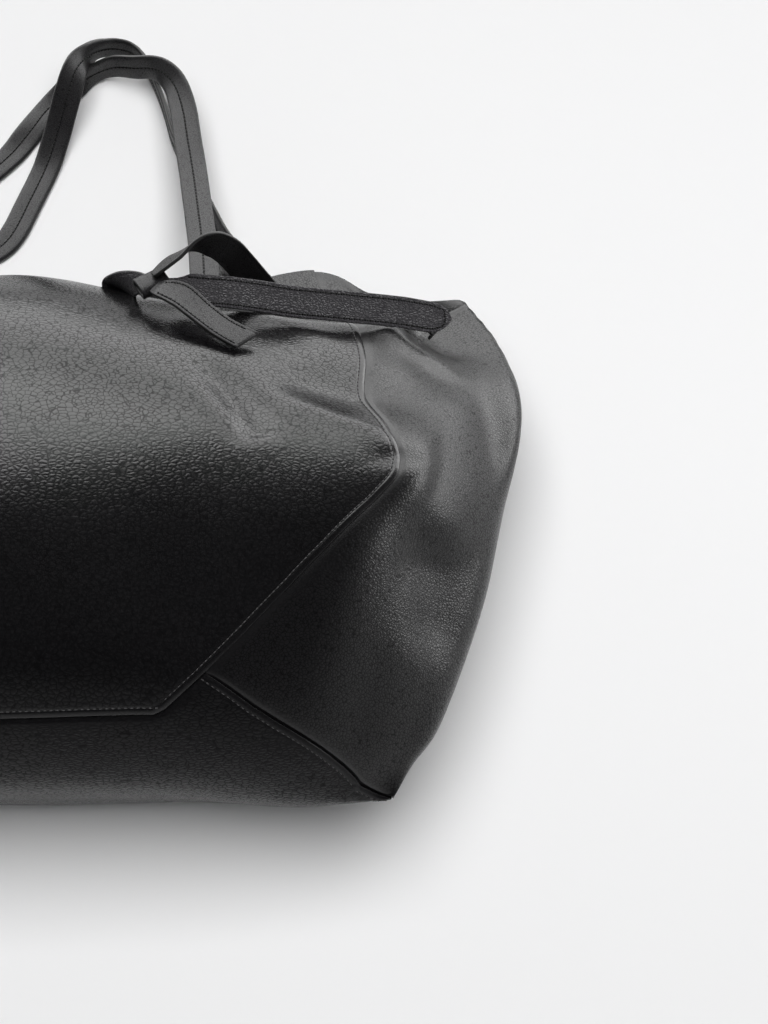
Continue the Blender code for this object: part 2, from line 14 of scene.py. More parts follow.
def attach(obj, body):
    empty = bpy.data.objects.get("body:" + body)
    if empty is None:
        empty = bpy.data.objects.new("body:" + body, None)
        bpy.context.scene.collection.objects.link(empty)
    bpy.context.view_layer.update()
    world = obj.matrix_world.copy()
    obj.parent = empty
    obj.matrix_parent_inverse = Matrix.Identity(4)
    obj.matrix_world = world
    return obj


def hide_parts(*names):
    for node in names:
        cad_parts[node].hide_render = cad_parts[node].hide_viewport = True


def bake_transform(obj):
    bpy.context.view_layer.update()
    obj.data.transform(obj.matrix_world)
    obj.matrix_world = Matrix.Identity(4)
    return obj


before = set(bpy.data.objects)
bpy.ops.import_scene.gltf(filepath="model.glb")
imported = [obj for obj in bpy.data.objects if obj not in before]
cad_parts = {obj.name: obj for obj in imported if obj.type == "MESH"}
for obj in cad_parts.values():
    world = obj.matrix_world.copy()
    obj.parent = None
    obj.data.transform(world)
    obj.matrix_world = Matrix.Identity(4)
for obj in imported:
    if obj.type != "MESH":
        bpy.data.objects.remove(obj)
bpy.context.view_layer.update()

bl_info = {
    "name": "Soft leather tote bag",
    "version": (1, 0, 0),
    "blender": (4, 5, 0),
    "location": "3D View > Sidebar > Tote bag",
    "description": "Builds the leather, straps, stitches and linings of a tote bag on its packed model",
    "category": "Object",
}

MILLIMETRE = 0.001

# The origin is on the resting surface, under the middle of the back panel
ORIGIN_LENGTH_SHARE = 0.56

# Rails of the skin, from the base ridge to the mouth. Each point is its distance from the centre line,
# its distance from the base ridge and its height, as shares of the three driving dimensions.
FRONT_CENTRE_SHARES = [
    (0, 0, .424), (0, .015, .62), (0, .080, .80), (0, .190, .925), (0, .37, 1.0),
    (0, .56, 1.0), (0, .72, .95), (0, .86, .83), (0, .965, .655), (0, 1.0, .52)]
FRONT_HANDLE_SHARES = [
    (.33, 0, .424), (.33, .017, .62), (.33, .088, .80), (.33, .20, .915), (.335, .38, .975),
    (.34, .56, .965), (.34, .72, .875), (.34, .84, .742), (.335, .924, .60), (.33, .955, .47)]
FRONT_SEAM_SHARES = [
    (.55, .003, .424), (.565, .03, .60), (.58, .10, .73), (.61, .22, .83), (.67, .38, .87),
    (.753, .563, .806), (.702, .69, .72), (.70, .79, .655), (.685, .875, .58), (.67, .92, .50)]
PLEAT_CREST_SHARES = [
    (.66, .006, .427), (.685, .045, .545), (.705, .12, .63), (.745, .24, .695), (.79, .385, .71),
    (.845, .545, .70), (.86, .70, .60), (.84, .80, .52), (.785, .868, .515), (.745, .90, .53)]
PLEAT_VALLEY_SHARES = [
    (.715, .010, .43), (.75, .06, .49), (.785, .13, .53), (.83, .25, .56), (.87, .385, .565),
    (.925, .55, .55), (.935, .70, .50), (.91, .83, .44), (.84, .93, .34), (.80, 1.0, .26)]
WING_SHARES = [
    (.753, .013, .436), (.785, .07, .436), (.83, .13, .436), (.875, .235, .43), (.925, .38, .424),
    (.965, .55, .42), (1.0, .69, .42), (1.005, .81, .38), (.965, .95, .30), (.905, 1.06, .235)]
BACK_VALLEY_SHARES = [
    (.715, .010, .43), (.75, .065, .36), (.785, .14, .31), (.83, .25, .27), (.875, .39, .25),
    (.93, .56, .24), (.945, .72, .22), (.93, .85, .19), (.885, .98, .17), (.82, 1.085, .17)]
BACK_CREST_SHARES = [
    (.66, .006, .427), (.685, .055, .30), (.705, .14, .19), (.745, .25, .13), (.79, .39, .11),
    (.85, .56, .11), (.85, .73, .10), (.81, .87, .09), (.76, 1.0, .10), (.71, 1.12, .12)]
BACK_SEAM_SHARES = [
    (.55, .003, .424), (.565, .045, .24), (.58, .13, .10), (.61, .24, .03), (.67, .39, .01),
    (.74, .56, .01), (.70, .74, .01), (.66, .89, .02), (.62, 1.04, .15), (.585, 1.180, .095)]
BACK_HANDLE_SHARES = [
    (.33, 0, .424), (.33, .035, .22), (.33, .115, .06), (.33, .22, 0), (.335, .38, -.02),
    (.34, .56, -.02), (.34, .74, -.02), (.34, .89, -.01), (.335, 1.04, 0), (.33, 1.16, .03)]
BACK_CENTRE_SHARES = [
    (0, 0, .424), (0, .03, .22), (0, .11, .06), (0, .22, 0), (0, .38, -.02),
    (0, .56, -.02), (0, .74, -.02), (0, .89, -.01), (0, 1.04, 0), (0, 1.165, .02)]
RAIL_SHARES = [
    FRONT_CENTRE_SHARES, FRONT_HANDLE_SHARES, FRONT_SEAM_SHARES, PLEAT_CREST_SHARES,
    PLEAT_VALLEY_SHARES, WING_SHARES, BACK_VALLEY_SHARES, BACK_CREST_SHARES,
    BACK_SEAM_SHARES, BACK_HANDLE_SHARES, BACK_CENTRE_SHARES]

# A place on the skin is a rail number, counted out from the centre line and round the wing to the back, and
# a station number, counted from the base ridge to the mouth. Seams are rail numbers at some stations.
WING_RAIL = 5.0
LAST_RAIL = 10.0
MOUTH_STATION = 9.0
JUNCTION_STATION = 2.48
TIP_STATION = 0.1
LINING_TIP_STATION = 0.55
FACING_STATION = 8.0
PANEL_EDGE_STATIONS = [
    1.92, 2.0, 2.48, 2.93, 3.42, 3.86, 4.35, 4.59, 4.66, 4.86, 4.98, 5.2, 5.71, 6.4, 7.2, 8.0, 9.0]
PANEL_EDGE_RAILS = [
    1.03, 1.10, 1.33, 1.54, 1.75, 1.91, 2.06, 2.11, 2.115, 2.07, 2.03, 1.99, 1.985, 2.0, 2.0, 2.0, 2.0]
PANEL_BOTTOM_STATION = 1.92
BASE_SEAM_STATIONS = [0.0, 0.55, 1.2, 1.52, 1.81, 2.05, 2.48]
BASE_SEAM_RAILS = [5.0, 3.3, 2.55, 2.20, 1.89, 1.66, 1.33]
BASE_TOP_RAILS = [0, 1.03, 1.10, 1.33, 1.66, 1.89, 2.20, 2.55, 3.3, 5.0]
BASE_TOP_STATIONS = [1.92, 1.92, 2.0, 2.48, 2.05, 1.81, 1.52, 1.2, .55, 0]

# Folds that the leather has fallen into: a line on the skin, its height and half its width in millimetres,
# and the shares of its length over which it fades in and out
FOLDS = [
    ([(1.10, 6.35), (1.19, 5.93), (1.28, 5.56), (1.36, 5.15), (1.42, 4.85)], -4.0, 10, .6, .12),
    ([(1.20, 8.0), (1.51, 7.7), (1.75, 7.35), (1.95, 7.0)], 1.2, 10, .3, .3),
    ([(1.40, 5.75), (1.57, 5.51), (1.67, 5.39), (1.78, 5.27), (1.86, 5.16), (1.94, 5.05)], 1.0, 7, .5, 0),
    ([(1.50, 6.2), (1.66, 5.95), (1.80, 5.80), (1.95, 5.7)], -1.3, 15, .4, .2),
    ([(2.02, 4.9), (2.19, 4.70), (2.56, 4.62), (3.03, 4.55), (3.37, 4.48), (3.84, 4.40), (4.36, 4.25)],
     1.7, 16, .2, .4),
    ([(2.73, 8.84), (2.71, 8.01), (2.94, 7.61), (3.17, 7.30), (3.42, 6.95), (3.86, 6.70)], 2.6, 8, 0, .4),
    ([(3.86, 8.9), (4.0, 8.22), (4.05, 7.69), (4.10, 7.19)], -3.0, 12, .1, .5),
    ([(0, -.4), (.9, -.4), (1.7, -.4), (2.6, -.3)], -6.6, 34, 0, .5),
    ([(3.0, 4.35), (3.3, 4.05), (3.6, 3.6), (3.8, 3.1), (3.95, 2.6)], -3.0, 20, .3, .4),
]
FOLD_STEPS = 6
RIPPLE_LENGTH = 0.055
RIPPLE_HEIGHT = 0.0004
# The leather that lies on the table is flat, and folds grow to their full height over this much above it
LYING_FADE = 0.03

# Step in rails and stations over which the skin's slope is measured, points along a measured run, and the
# columns that each sheet is first laid out in
SKIN_STEP = 0.02
FINE_COUNT = 400
PANEL_COLUMNS = 241
GUSSET_COLUMNS = 121
BASE_COLUMNS = 201
# Where the spacing of the mesh lines is measured on a panel, a gusset and the base
PANEL_MEASURE_RAIL = 0.5
GUSSET_MEASURE_RAIL = 3.5
GUSSET_MEASURE_STATION = 5
BASE_MEASURE_STATION = 0.2
# The back panel and the linings are seen less, and have wider mesh steps
BACK_STEPS = 1.6
LINING_STEPS = 2

# Lines of the mesh beside an edge, by their distance from it, and the heights that the leather has there,
# in millimetres
EDGE_LINES = [0, .3, .7, 1.2, 1.8, 2.4, 2.9, 3.4, 3.9, 4.5, 5.5, 7, 9, 12]
TURNED_EDGE = (
    [0, .3, .7, 1.3, 2.2, 2.9, 3.4, 3.9, 4.7, 6.5, 10],
    [-.05, .06, .16, .26, .28, .14, -.04, .08, .14, .05, 0])
TUCKED_EDGE = ([0, .5, 1.5, 3, 6], [-1.4, -1.3, -.7, -.2, 0])
SOFT_EDGE = ([0, .5, 1.5, 3, 6], [-.55, -.5, -.3, -.1, 0])
RIDGE_EDGE = (
    [0, .3, .7, 1.4, 2.2, 2.9, 3.4, 4, 5, 7, 10], [.10, .28, .45, .60, .55, .30, .0, .15, .22, .1, 0])
# Spacing of the points that a seam is searched by, and a distance beyond every seam
SEAM_SPACING = 0.0003
FAR_FROM_SEAM = 1.0
# Points along each seam and each row of stitches
PANEL_SIDE_POINTS = 260
PANEL_BOTTOM_POINTS = 80
MOUTH_POINTS = 120
GUSSET_SIDE_POINTS = 240
GUSSET_BASE_POINTS = 100
BASE_SEAM_POINTS = 120
SIDE_STITCH_POINTS = 300
BASE_STITCH_POINTS = 200

# Stitches of the body: distance from the edge, how deep they sit, where their rows run, and the stations
# of the middle of a panel and of the base
STITCH_INSET = 0.0034
STITCH_SINK = 0.00005
SIDE_STITCH_STATIONS = [2.04, 8.85]
BASE_STITCH_STATION = 0.2
PANEL_MIDDLE_STATION = 5
BASE_MIDDLE_STATION = 1
# The two balls of a stitch, the thread and a dark ball of painted shade for the hole beside it: half
# length and place as shares of the pitch, and width as a share of the thread's
STITCH_BALLS = [("Thread", 0.36, 1.0, 0.5), ("Hole", 0.20, 1.3, 0.0)]
# Stitches of the straps: how much heavier the thread is, its height as a share of the strap's thickness,
# and its distance from the edge of a tie
STRAP_THREAD_WEIGHT = 1.6
STITCH_HEIGHT_SHARE = 0.44
STITCH_FROM_EDGE = 0.0021

# Shoulder handles: centre line of each strap, and the direction in which its width lies there. The places are
# shares of the driving dimensions, and the fourth number adds height as a share of the strap's width.
FRONT_HANDLE_ROUTE_SHARES = [
    ((.372, .990, .395, 0), (1, 0, 0)), ((.368, 1.03, .355, 0), (1, .1, .1)),
    ((.360, 1.101, .325, 0), (1, .1, .1)), ((.350, 1.185, .280, 0), (1, .1, .1)),
    ((.334, 1.285, .130, .97), (1, .2, 0)), ((.316, 1.394, .050, 1.31), (1, .2, 0)),
    ((.300, 1.479, 0, 1.67), (1, .2, .1)), ((.286, 1.556, 0, 1.65), (1, .4, .3)),
    ((.266, 1.618, 0, 1.65), (.7, .5, .6)), ((.238, 1.656, 0, 1.59), (.4, .4, .8)),
    ((.203, 1.681, 0, 1.35), (.1, .2, .95)), ((.164, 1.694, 0, 1.09), (0, .2, 1)),
    ((.117, 1.711, 0, .78), (0, .1, 1)), ((.079, 1.707, 0, .61), (0, 0, 1)),
    ((.045, 1.688, 0, .52), (-.15, .25, .93)), ((.004, 1.662, 0, .31), (-.7, .62, .3)),
    ((-.037, 1.617, 0, .20), (-.8, .6, 0)), ((-.075, 1.556, 0, .18), (-.75, .6, .2)),
    ((-.111, 1.502, 0, .15), (-.8, .6, 0)), ((-.170, 1.440, 0, .15), (-.7, .7, 0)),
    ((-.240, 1.370, 0, .18), (-.8, .6, 0)), ((-.310, 1.270, .070, 0), (-.9, .3, .2)),
    ((-.352, 1.170, .170, 0), (-1, .2, .1)), ((-.370, 1.080, .290, 0), (-1, 0, 0)),
    ((-.373, 1.02, .355, 0), (-1, 0, 0)), ((-.372, .990, .395, 0), (-1, 0, 0))]
BACK_HANDLE_ROUTE_SHARES = [
    ((.408, 1.200, .078, 0), (1, 0, .1)), ((.396, 1.240, .065, 0), (.7, .1, .6)),
    ((.375, 1.290, 0, .55), (.3, .1, .9)), ((.340, 1.376, 0, .55), (0, 0, 1)),
    ((.296, 1.452, 0, .55), (0, 0, 1)), ((.260, 1.529, 0, .55), (0, 0, 1)),
    ((.238, 1.602, 0, .55), (0, 0, 1)), ((.217, 1.660, 0, .55), (0, 0, 1)),
    ((.196, 1.708, 0, .55), (0, 0, 1)), ((.174, 1.742, 0, .56), (0, 0, 1)),
    ((.145, 1.762, 0, .62), (0, 0, 1)), ((.110, 1.764, 0, .75), (0, -.1, 1)),
    ((.080, 1.745, 0, 1.02), (-.1, -.3, .95)), ((.056, 1.705, 0, 1.45), (-.3, -.35, .85)),
    ((.038, 1.660, 0, 1.70), (-.7, -.2, .6)), ((.024, 1.616, 0, 1.44), (-.9, 0, .35)),
    ((.009, 1.575, 0, .97), (-1, .1, .1)), ((-.005, 1.535, 0, .56), (-1, .1, .1)),
    ((-.025, 1.472, 0, .20), (-1, .2, 0)), ((-.056, 1.385, 0, .15), (-1, .3, 0)),
    ((-.088, 1.302, 0, .15), (-.9, .4, 0)), ((-.125, 1.262, 0, .15), (-.7, .7, 0)),
    ((-.180, 1.245, 0, .15), (-.2, 1, 0)), ((-.250, 1.250, 0, .15), (0, 1, 0)),
    ((-.320, 1.250, 0, .19), (-.3, .9, .1)), ((-.375, 1.225, .034, 0), (-.8, .5, .1)),
    ((-.405, 1.200, .070, 0), (-1, .1, 0))]

# Tie closure: one strap from the front mouth through the knot, one from the back mouth over to it, and
# their free ends. The last number is the strap's width as a share of its full width.
FRONT_TIE_ROUTE_SHARES = [
    ((.201, .992, .430), (1, 0, 0), 1), ((.201, .988, .480), (1, 0, 0), 1),
    ((.203, .975, .535), (.95, -.1, -.35), 1), ((.212, .957, .585), (.75, -.3, -.65), 1),
    ((.230, .942, .632), (.35, -.5, -.80), .95), ((.257, .926, .685), (0, -.80, -.60), .7),
    ((.288, .9075, .7315), (0, -.99, -.05), .40), ((.318, .9065, .727), (0, -.98, -.15), .42),
    ((.338, .904, .719), (0, -.93, -.35), .65), ((.362, .902, .711), (0, -.90, -.43), 1),
    ((.400, .901, .705), (0, -.90, -.43), 1)]
TIE_END_ROUTE_SHARES = [
    ((.439, .900, .699), (0, -.90, -.43), 1), ((.500, .901, .671), (0, -.89, -.45), 1),
    ((.552, .900, .649), (0, -.88, -.47), 1), ((.610, .904, .620), (0, -.88, -.47), 1),
    ((.668, .908, .593), (0, -.88, -.47), 1), ((.766, .912, .552), (0, -.88, -.47), 1),
    ((.825, .910, .528), (0, -.88, -.47), 1), ((.868, .911, .513), (0, -.88, -.47), 1)]
BACK_TIE_ROUTE_SHARES = [
    ((.483, 1.105, .097), (1, 0, 0), 1), ((.480, 1.090, .207), (.9, .3, .2), 1),
    ((.468, 1.042, .397), (.8, .4, .4), 1), ((.449, 1.010, .567), (.7, .4, .6), 1),
    ((.428, .993, .690), (.5, .3, .8), 1), ((.402, .987, .745), (.1, .2, .98), 1),
    ((.366, .976, .765), (.2, -.3, .9), .95), ((.335, .950, .771), (.3, -.63, .71), .85),
    ((.312, .930, .770), (.35, -.65, .66), .75)]
TIE_TAIL_ROUTE_SHARES = [
    ((.313, .878, .779), (.6, .75, .0), .7), ((.348, .863, .785), (.6, .77, -.2), 1),
    ((.387, .830, .783), (.6, .74, -.35), 1), ((.430, .798, .777), (.6, .74, -.35), 1),
    ((.477, .775, .766), (.6, .75, -.3), 1)]
# The knot: its centre and directions, the roots of the short end and the arch beside it as shares of its
# half size, with their width directions, how far the straps narrow in it, the tilt and directions of its
# band, the room inside it, and the lift of all ties as a share of their thickness
KNOT_CENTRE_SHARES = (.288, .9075, .7315)
KNOT_DIRECTIONS = [(1, 0, 0), (0, .88, .47), (0, -.47, .88)]
TAIL_ROOT_SHARES = (.26, -.46, 1.62)
TAIL_ROOT_TOWARD = (.65, .76, 0)
ARCH_END_SHARES = (.10, .60, .70)
ARCH_END_TOWARD = (.4, -.6, .65)
PINCHED_WIDTH_SHARE = 0.45
KNOT_TILT = math.radians(32)
WRAP_DIRECTIONS = [(1, 0, 0), (0, .995, -.1), (0, .1, .995)]
KNOT_CLEARANCE = 0.0007
TIE_LIFT_SHARE = 2.5
# The folded tab on the gusset
GUSSET_TAB_ROUTE_SHARES = [
    ((.834, .947, .347), (.5, .75, -.4)), ((.836, .946, .374), (.5, .75, -.4)),
    ((.828, .948, .388), (.5, .75, -.4)), ((.812, .962, .385), (.5, .75, -.4)),
    ((.803, .975, .360), (.5, .75, -.4)), ((.801, .983, .338), (.5, .75, -.4))]

# Sewn ends of the handles inside the mouth, roots of the ties, and the pocket on the back lining
FRONT_END_RAILS = [1.04, 1.22]
BACK_END_RAILS = [1.22, 1.44]
FRONT_TIE_RAIL = 0.606
BACK_TIE_RAIL = 1.60
FRONT_TIE_STATIONS = [8.25, 8.5, 9.0]
BACK_TIE_STATIONS = [8.15, 8.45]
SEWN_STATION = 8.25
POCKET_RAIL = 0.75
POCKET_STATIONS = [5.6, 7.6]
# Gap between two layers, from a sewn end to its handle, the straight run of a handle's root, and the step
# over which the mouth's directions are measured
LAYER_GAP = 0.0004
END_GAP = 0.0012
ROOT_RUN = 0.008
RAIL_STEP = 0.1

# Cross-sections of the straps, from one edge to the middle: distance from the edge in millimetres, and
# height as a share of half the thickness. The edge itself is painted.
TIE_SECTION = [
    (0, .35), (.12, .75), (.4, .98), (.9, 1), (1.5, .98), (1.9, .90), (2.2, .88), (2.6, .95), (3.4, 1),
    (5.5, .97)]
HANDLE_SECTION = [
    (0, .25), (.2, .55), (.7, .86), (1.5, 1), (3, 1), (5, .98), (6.6, .95), (7.6, .90), (8.2, .88)]
TAB_SECTION = [(0, .5), (.25, .95), (1.2, 1), (2.6, .97)]
STRAP_STEPS = 9
LEAST_WIDTH_SHARE = 0.02
# Mesh lines of the sewn end of a handle
SEWN_ROWS = 14
SEWN_COLUMNS = 10

# The cut of the short free ends, the rounded tip of the long ones, the rows of a tie's route before its
# stitches start, the points without stitches at the two tips, and the shape of the knot's band
TAIL_SLANT = 0.30
TIE_TIP_REACH = 0.013
TIE_TIP_POWER = 0.62
ROWS_BEFORE_STITCHES = 9
TIP_CLEAR_POINTS = 3
TAIL_CLEAR_POINTS = 4
KNOT_TURN_STEPS = 40
KNOT_ROUNDNESS = 0.62
KNOT_WIDTH_SHARE = 0.98

# Lengths along the long and the short free end of a tie, from where each leaves the knot
TIE_BLEND_RUN = 0.030
TAIL_BLEND_RUN = 0.022

# Leather grain: near an edge the pebbles are pressed flatter, and reach their full height further in
GRAIN_START = 0.001
GRAIN_RUN = 0.005
GRAIN_AT_EDGE_SHARE = 0.25
# How far the pebbles are pushed out of line, and where a dome ends and its crease begins, as shares of a
# pebble, and how strongly painted shade darkens the crease
WARP_SCALE = 170.0
WARP_SHARE = 0.7
DOME_REACH = 0.42
CREASE_START = 0.01
CREASE_REACH = 0.11
CREASE_PAINTED_SHADE = 0.55
# The darker matte shader that paints shade into the bottom of a crease, and the pores on a dome
CREASE_SHADE_TONE = 0.5
PORE_SCALE = 1500.0
PORE_SHARE = 0.05
# Slow changes of tone and gloss over the hide, painted shade that darkens each pebble from its dome
# towards its creases, and the darkest and lightest tone
HIDE_SCALE = 14.0
HIDE_TONE_SHARE = 0.35
DOME_PAINTED_SHADE_SHARE = 0.4
LEAST_TONE_SHARE = 0.2
HIDE_TONES = (0.55, 1.25)
HIDE_GLOSS = 0.08
# Slow changes of tone in paint, thread and suede, with the shares of slow and fine unevenness
PLAIN_SCALE = 30.0
PLAIN_TONE_SHARES = (0.6, 0.4)
PLAIN_TONES = (0.6, 1.4)
PLAIN_GLOSS = 0.16

# Each leather: relief of its pebbles, roughness, whether it flattens near seams, and how strongly it mirrors
LEATHERS = {
    "panel_grain": (0.000045, 0.21, True, 0.5),
    "base_grain": (0.00008, 0.27, True, 0.25),
    "gusset_grain": (0.00006, 0.28, True, 0.5),
    "strap_face": (0.00005, 0.42, False, 0.5),
    "strap_grain": (0.00035, 0.34, False, 0.5),
}
# The long ties' coarse-grained leather is this many times lighter than the other straps: partly a coarser
# leather, partly painted sheen for the light that its rough grain scatters
STRAP_GRAIN_AND_SHEEN_FACTOR = 4
# Each plain finish: its colour and the factor that it is darkened by, roughness, size and depth of its
# unevenness, and sheen
PLAIN_FINISHES = {
    "painted_edge": ("painted_edge", 1, 0.4, 0.002, 0.00004, 0.0),
    "thread": ("thread", 1, 0.5, 0.0004, 0.00005, 0.0),
    "strap_thread": ("painted_edge", 0.6, 0.45, 0.0004, 0.00005, 0.0),
    # The stitch hole's dark finish is painted shade
    "stitch_hole": ("painted_edge", 0.3, 0.8, 0.0005, 0.00003, 0.0),
    "suede": ("suede", 1, 0.85, 0.0008, 0.00015, 0.3),
}

# The camera that took the photograph
LENS = 73.5
SENSOR = 36.0
CAMERA_PLACE = (0.202, -0.5224, 1.0462)
CAMERA_TILT = math.radians(28)
CLIP_START = 0.01

# The window wall that the leather mirrors: from the left to the right of each pane, from its bottom to its
# top, and its radiance
WINDOW_DISTANCE = 3.0
WINDOW_PANES = [
    (-6.0, -.1, 0, 2.2, 2.6), (-6.0, -.1, 2.2, 5.35, 4.8), (-.1, 1.7, 0, 2.2, 2.6), (-.1, .5, 2.2, 4.85, 4.8),
    (.5, 1.0, 2.2, 3.8, 4.8), (1.0, 1.7, 2.2, 2.8, 4.8), (1.7, 4.0, 0, 2.2, 4.6)]
# The window at the right: its distance, the places where it starts and ends, its height and its radiance
SIDE_WINDOW = (4.0, .65, 3.0, 1.1, 5.4)
# The soft box over the bag, and the table, whose colour is darkened a little towards the camera by
# painted shade
OVERHEAD_SIZE = 2.8
OVERHEAD_PLACE = (0.40, 0.0, 2.9)
OVERHEAD_RADIANCE = 4.25
TABLE_HALF = 4.0
TABLE_FADE = (-0.55, 0.15)
TABLE_NEAR_PAINTED_SHADE = 0.90
# Light from the room: all round, and near the horizon, where glossy leather mirrors a brighter wall
SKY_STRENGTH = 0.03
HORIZON_STRENGTH = 0.30
HORIZON_MIRRORED = 0.62
HORIZON_TOP = 0.85


# Sizes and colours

class ToteSizes(bpy.types.PropertyGroup):
    """Sizes of the bag that a user would change."""
    wing_half_width: bpy.props.FloatProperty(
        name="Half width", description="From the centre line to the widest point of a wing",
        default=0.275, min=0.1, unit="LENGTH")
    body_length: bpy.props.FloatProperty(
        name="Length", description="From the base ridge to the front mouth edge", default=0.300, min=0.1,
        unit="LENGTH")
    lying_depth: bpy.props.FloatProperty(
        name="Lying depth", description="Height of the front panel above the table", default=0.165,
        min=0.05, unit="LENGTH")
    leather_thickness: bpy.props.FloatProperty(
        name="Leather", description="Thickness of the body leather", default=0.0016, min=0.001,
        unit="LENGTH")
    lining_thickness: bpy.props.FloatProperty(
        name="Lining", description="Thickness of the suede lining", default=0.0010, min=0.0005,
        unit="LENGTH")
    strap_width: bpy.props.FloatProperty(
        name="Strap width", description="Width of the handles and ties", default=0.017, min=0.008,
        unit="LENGTH")
    strap_thickness: bpy.props.FloatProperty(
        name="Handle thickness", description="Thickness of a handle strap", default=0.0030, min=0.001,
        unit="LENGTH")
    tie_thickness: bpy.props.FloatProperty(
        name="Tie thickness", description="Thickness of a tie strap", default=0.0020, min=0.001,
        unit="LENGTH")
    tab_width: bpy.props.FloatProperty(
        name="Tab width", description="Width of the folded tab on each gusset", default=0.008, min=0.004,
        unit="LENGTH")
    tab_thickness: bpy.props.FloatProperty(
        name="Tab thickness", description="Thickness of the folded tab", default=0.0016, min=0.001,
        unit="LENGTH")
    stitch_pitch: bpy.props.FloatProperty(
        name="Stitch pitch", description="Distance from one stitch to the next", default=0.0029,
        min=0.001, unit="LENGTH")
    thread_width: bpy.props.FloatProperty(
        name="Thread", description="Thickness of the sewing thread", default=0.00068, min=0.0002,
        unit="LENGTH")
    mesh_step: bpy.props.FloatProperty(
        name="Mesh step", description="Distance between mesh lines on the body", default=0.003, min=0.001,
        unit="LENGTH")
    grain_length: bpy.props.FloatProperty(
        name="Grain length", description="Length of a pebble of the leather's grain", default=0.0031,
        min=0.001, unit="LENGTH")
    grain_width: bpy.props.FloatProperty(
        name="Grain width", description="Width of a pebble of the leather's grain", default=0.0022,
        min=0.001, unit="LENGTH")


class ToteColours(bpy.types.PropertyGroup):
    """Colours of the bag and its table."""
    leather: bpy.props.FloatVectorProperty(
        name="Leather", description="Body and strap leather", default=(0.0042, 0.0040, 0.0045), size=3,
        subtype="COLOR")
    # Lighter than the body leather: partly its own tone, partly painted sheen in place of the soft box's
    # light, which its gloss does not mirror
    strap: bpy.props.FloatVectorProperty(
        name="Strap leather", description="Handles, ties and knots", default=(0.011, 0.0105, 0.0115),
        size=3, subtype="COLOR")
    painted_edge: bpy.props.FloatVectorProperty(
        name="Painted edge", description="Paint on the cut edges of the straps",
        default=(0.006, 0.006, 0.0058), size=3, subtype="COLOR")
    thread: bpy.props.FloatVectorProperty(
        name="Thread", description="Sewing thread", default=(0.040, 0.039, 0.040), size=3,
        subtype="COLOR")
    suede: bpy.props.FloatVectorProperty(
        name="Suede", description="Lining and pocket", default=(0.020, 0.019, 0.020), size=3,
        subtype="COLOR")
    table: bpy.props.FloatVectorProperty(
        name="Table", description="The surface that the bag lies on", default=(0.885, 0.885, 0.89),
        size=3, subtype="COLOR")


# The bag's skin

def spline_weights(share):
    """Weights of the four neighbours in a smooth curve through all of them."""
    square = share * share
    cube = square * share
    before = 2 * square - share - cube
    here = 2 - 5 * square + 3 * cube
    there = share + 4 * square - 3 * cube
    return 0.5 * np.stack([before, here, there, cube - square], -1)


def smooth_line(values, steps):
    """A smooth curve through all the values, with some steps in each span."""
    values = np.asarray(values, float)
    ends = np.concatenate([[2 * values[0] - values[1]], values, [2 * values[-1] - values[-2]]])
    shares = np.linspace(0, 1, steps, endpoint=False)
    line = [spline_weights(shares) @ ends[i:i + 4] for i in range(len(values) - 1)]
    return np.concatenate(line + [values[-1:]])


def unit(vectors):
    """Vectors of the same direction, one metre long."""
    return vectors / np.linalg.norm(vectors, axis=-1, keepdims=True)


def distance_along(points):
    """Distance of each point of a line from its first point."""
    return np.concatenate([[0], np.cumsum(np.linalg.norm(np.diff(points, axis=0), axis=-1))])


def near_line(points, line):
    """Distance of each point from a line, and how far along it the nearest place is, as a share."""
    nearest = np.full(points.shape[:-1], np.inf)
    share = np.zeros(points.shape[:-1])
    run = distance_along(line)
    for i in range(len(line) - 1):
        step = line[i + 1] - line[i]
        part = np.clip((points - line[i]) @ step / (step @ step), 0, 1)
        gap = np.linalg.norm(points - line[i] - part[..., None] * step, axis=-1)
        closer = gap < nearest
        nearest = np.where(closer, gap, nearest)
        share = np.where(closer, (run[i] + part * (run[i + 1] - run[i])) / run[-1], share)
    return nearest, share


def faded(share, reach):
    """A smooth rise from 0 over a reach, or 1 where there is none."""
    if not reach:
        return 1.0
    rise = np.clip(share / reach, 0, 1)
    return rise * rise * (3 - 2 * rise)


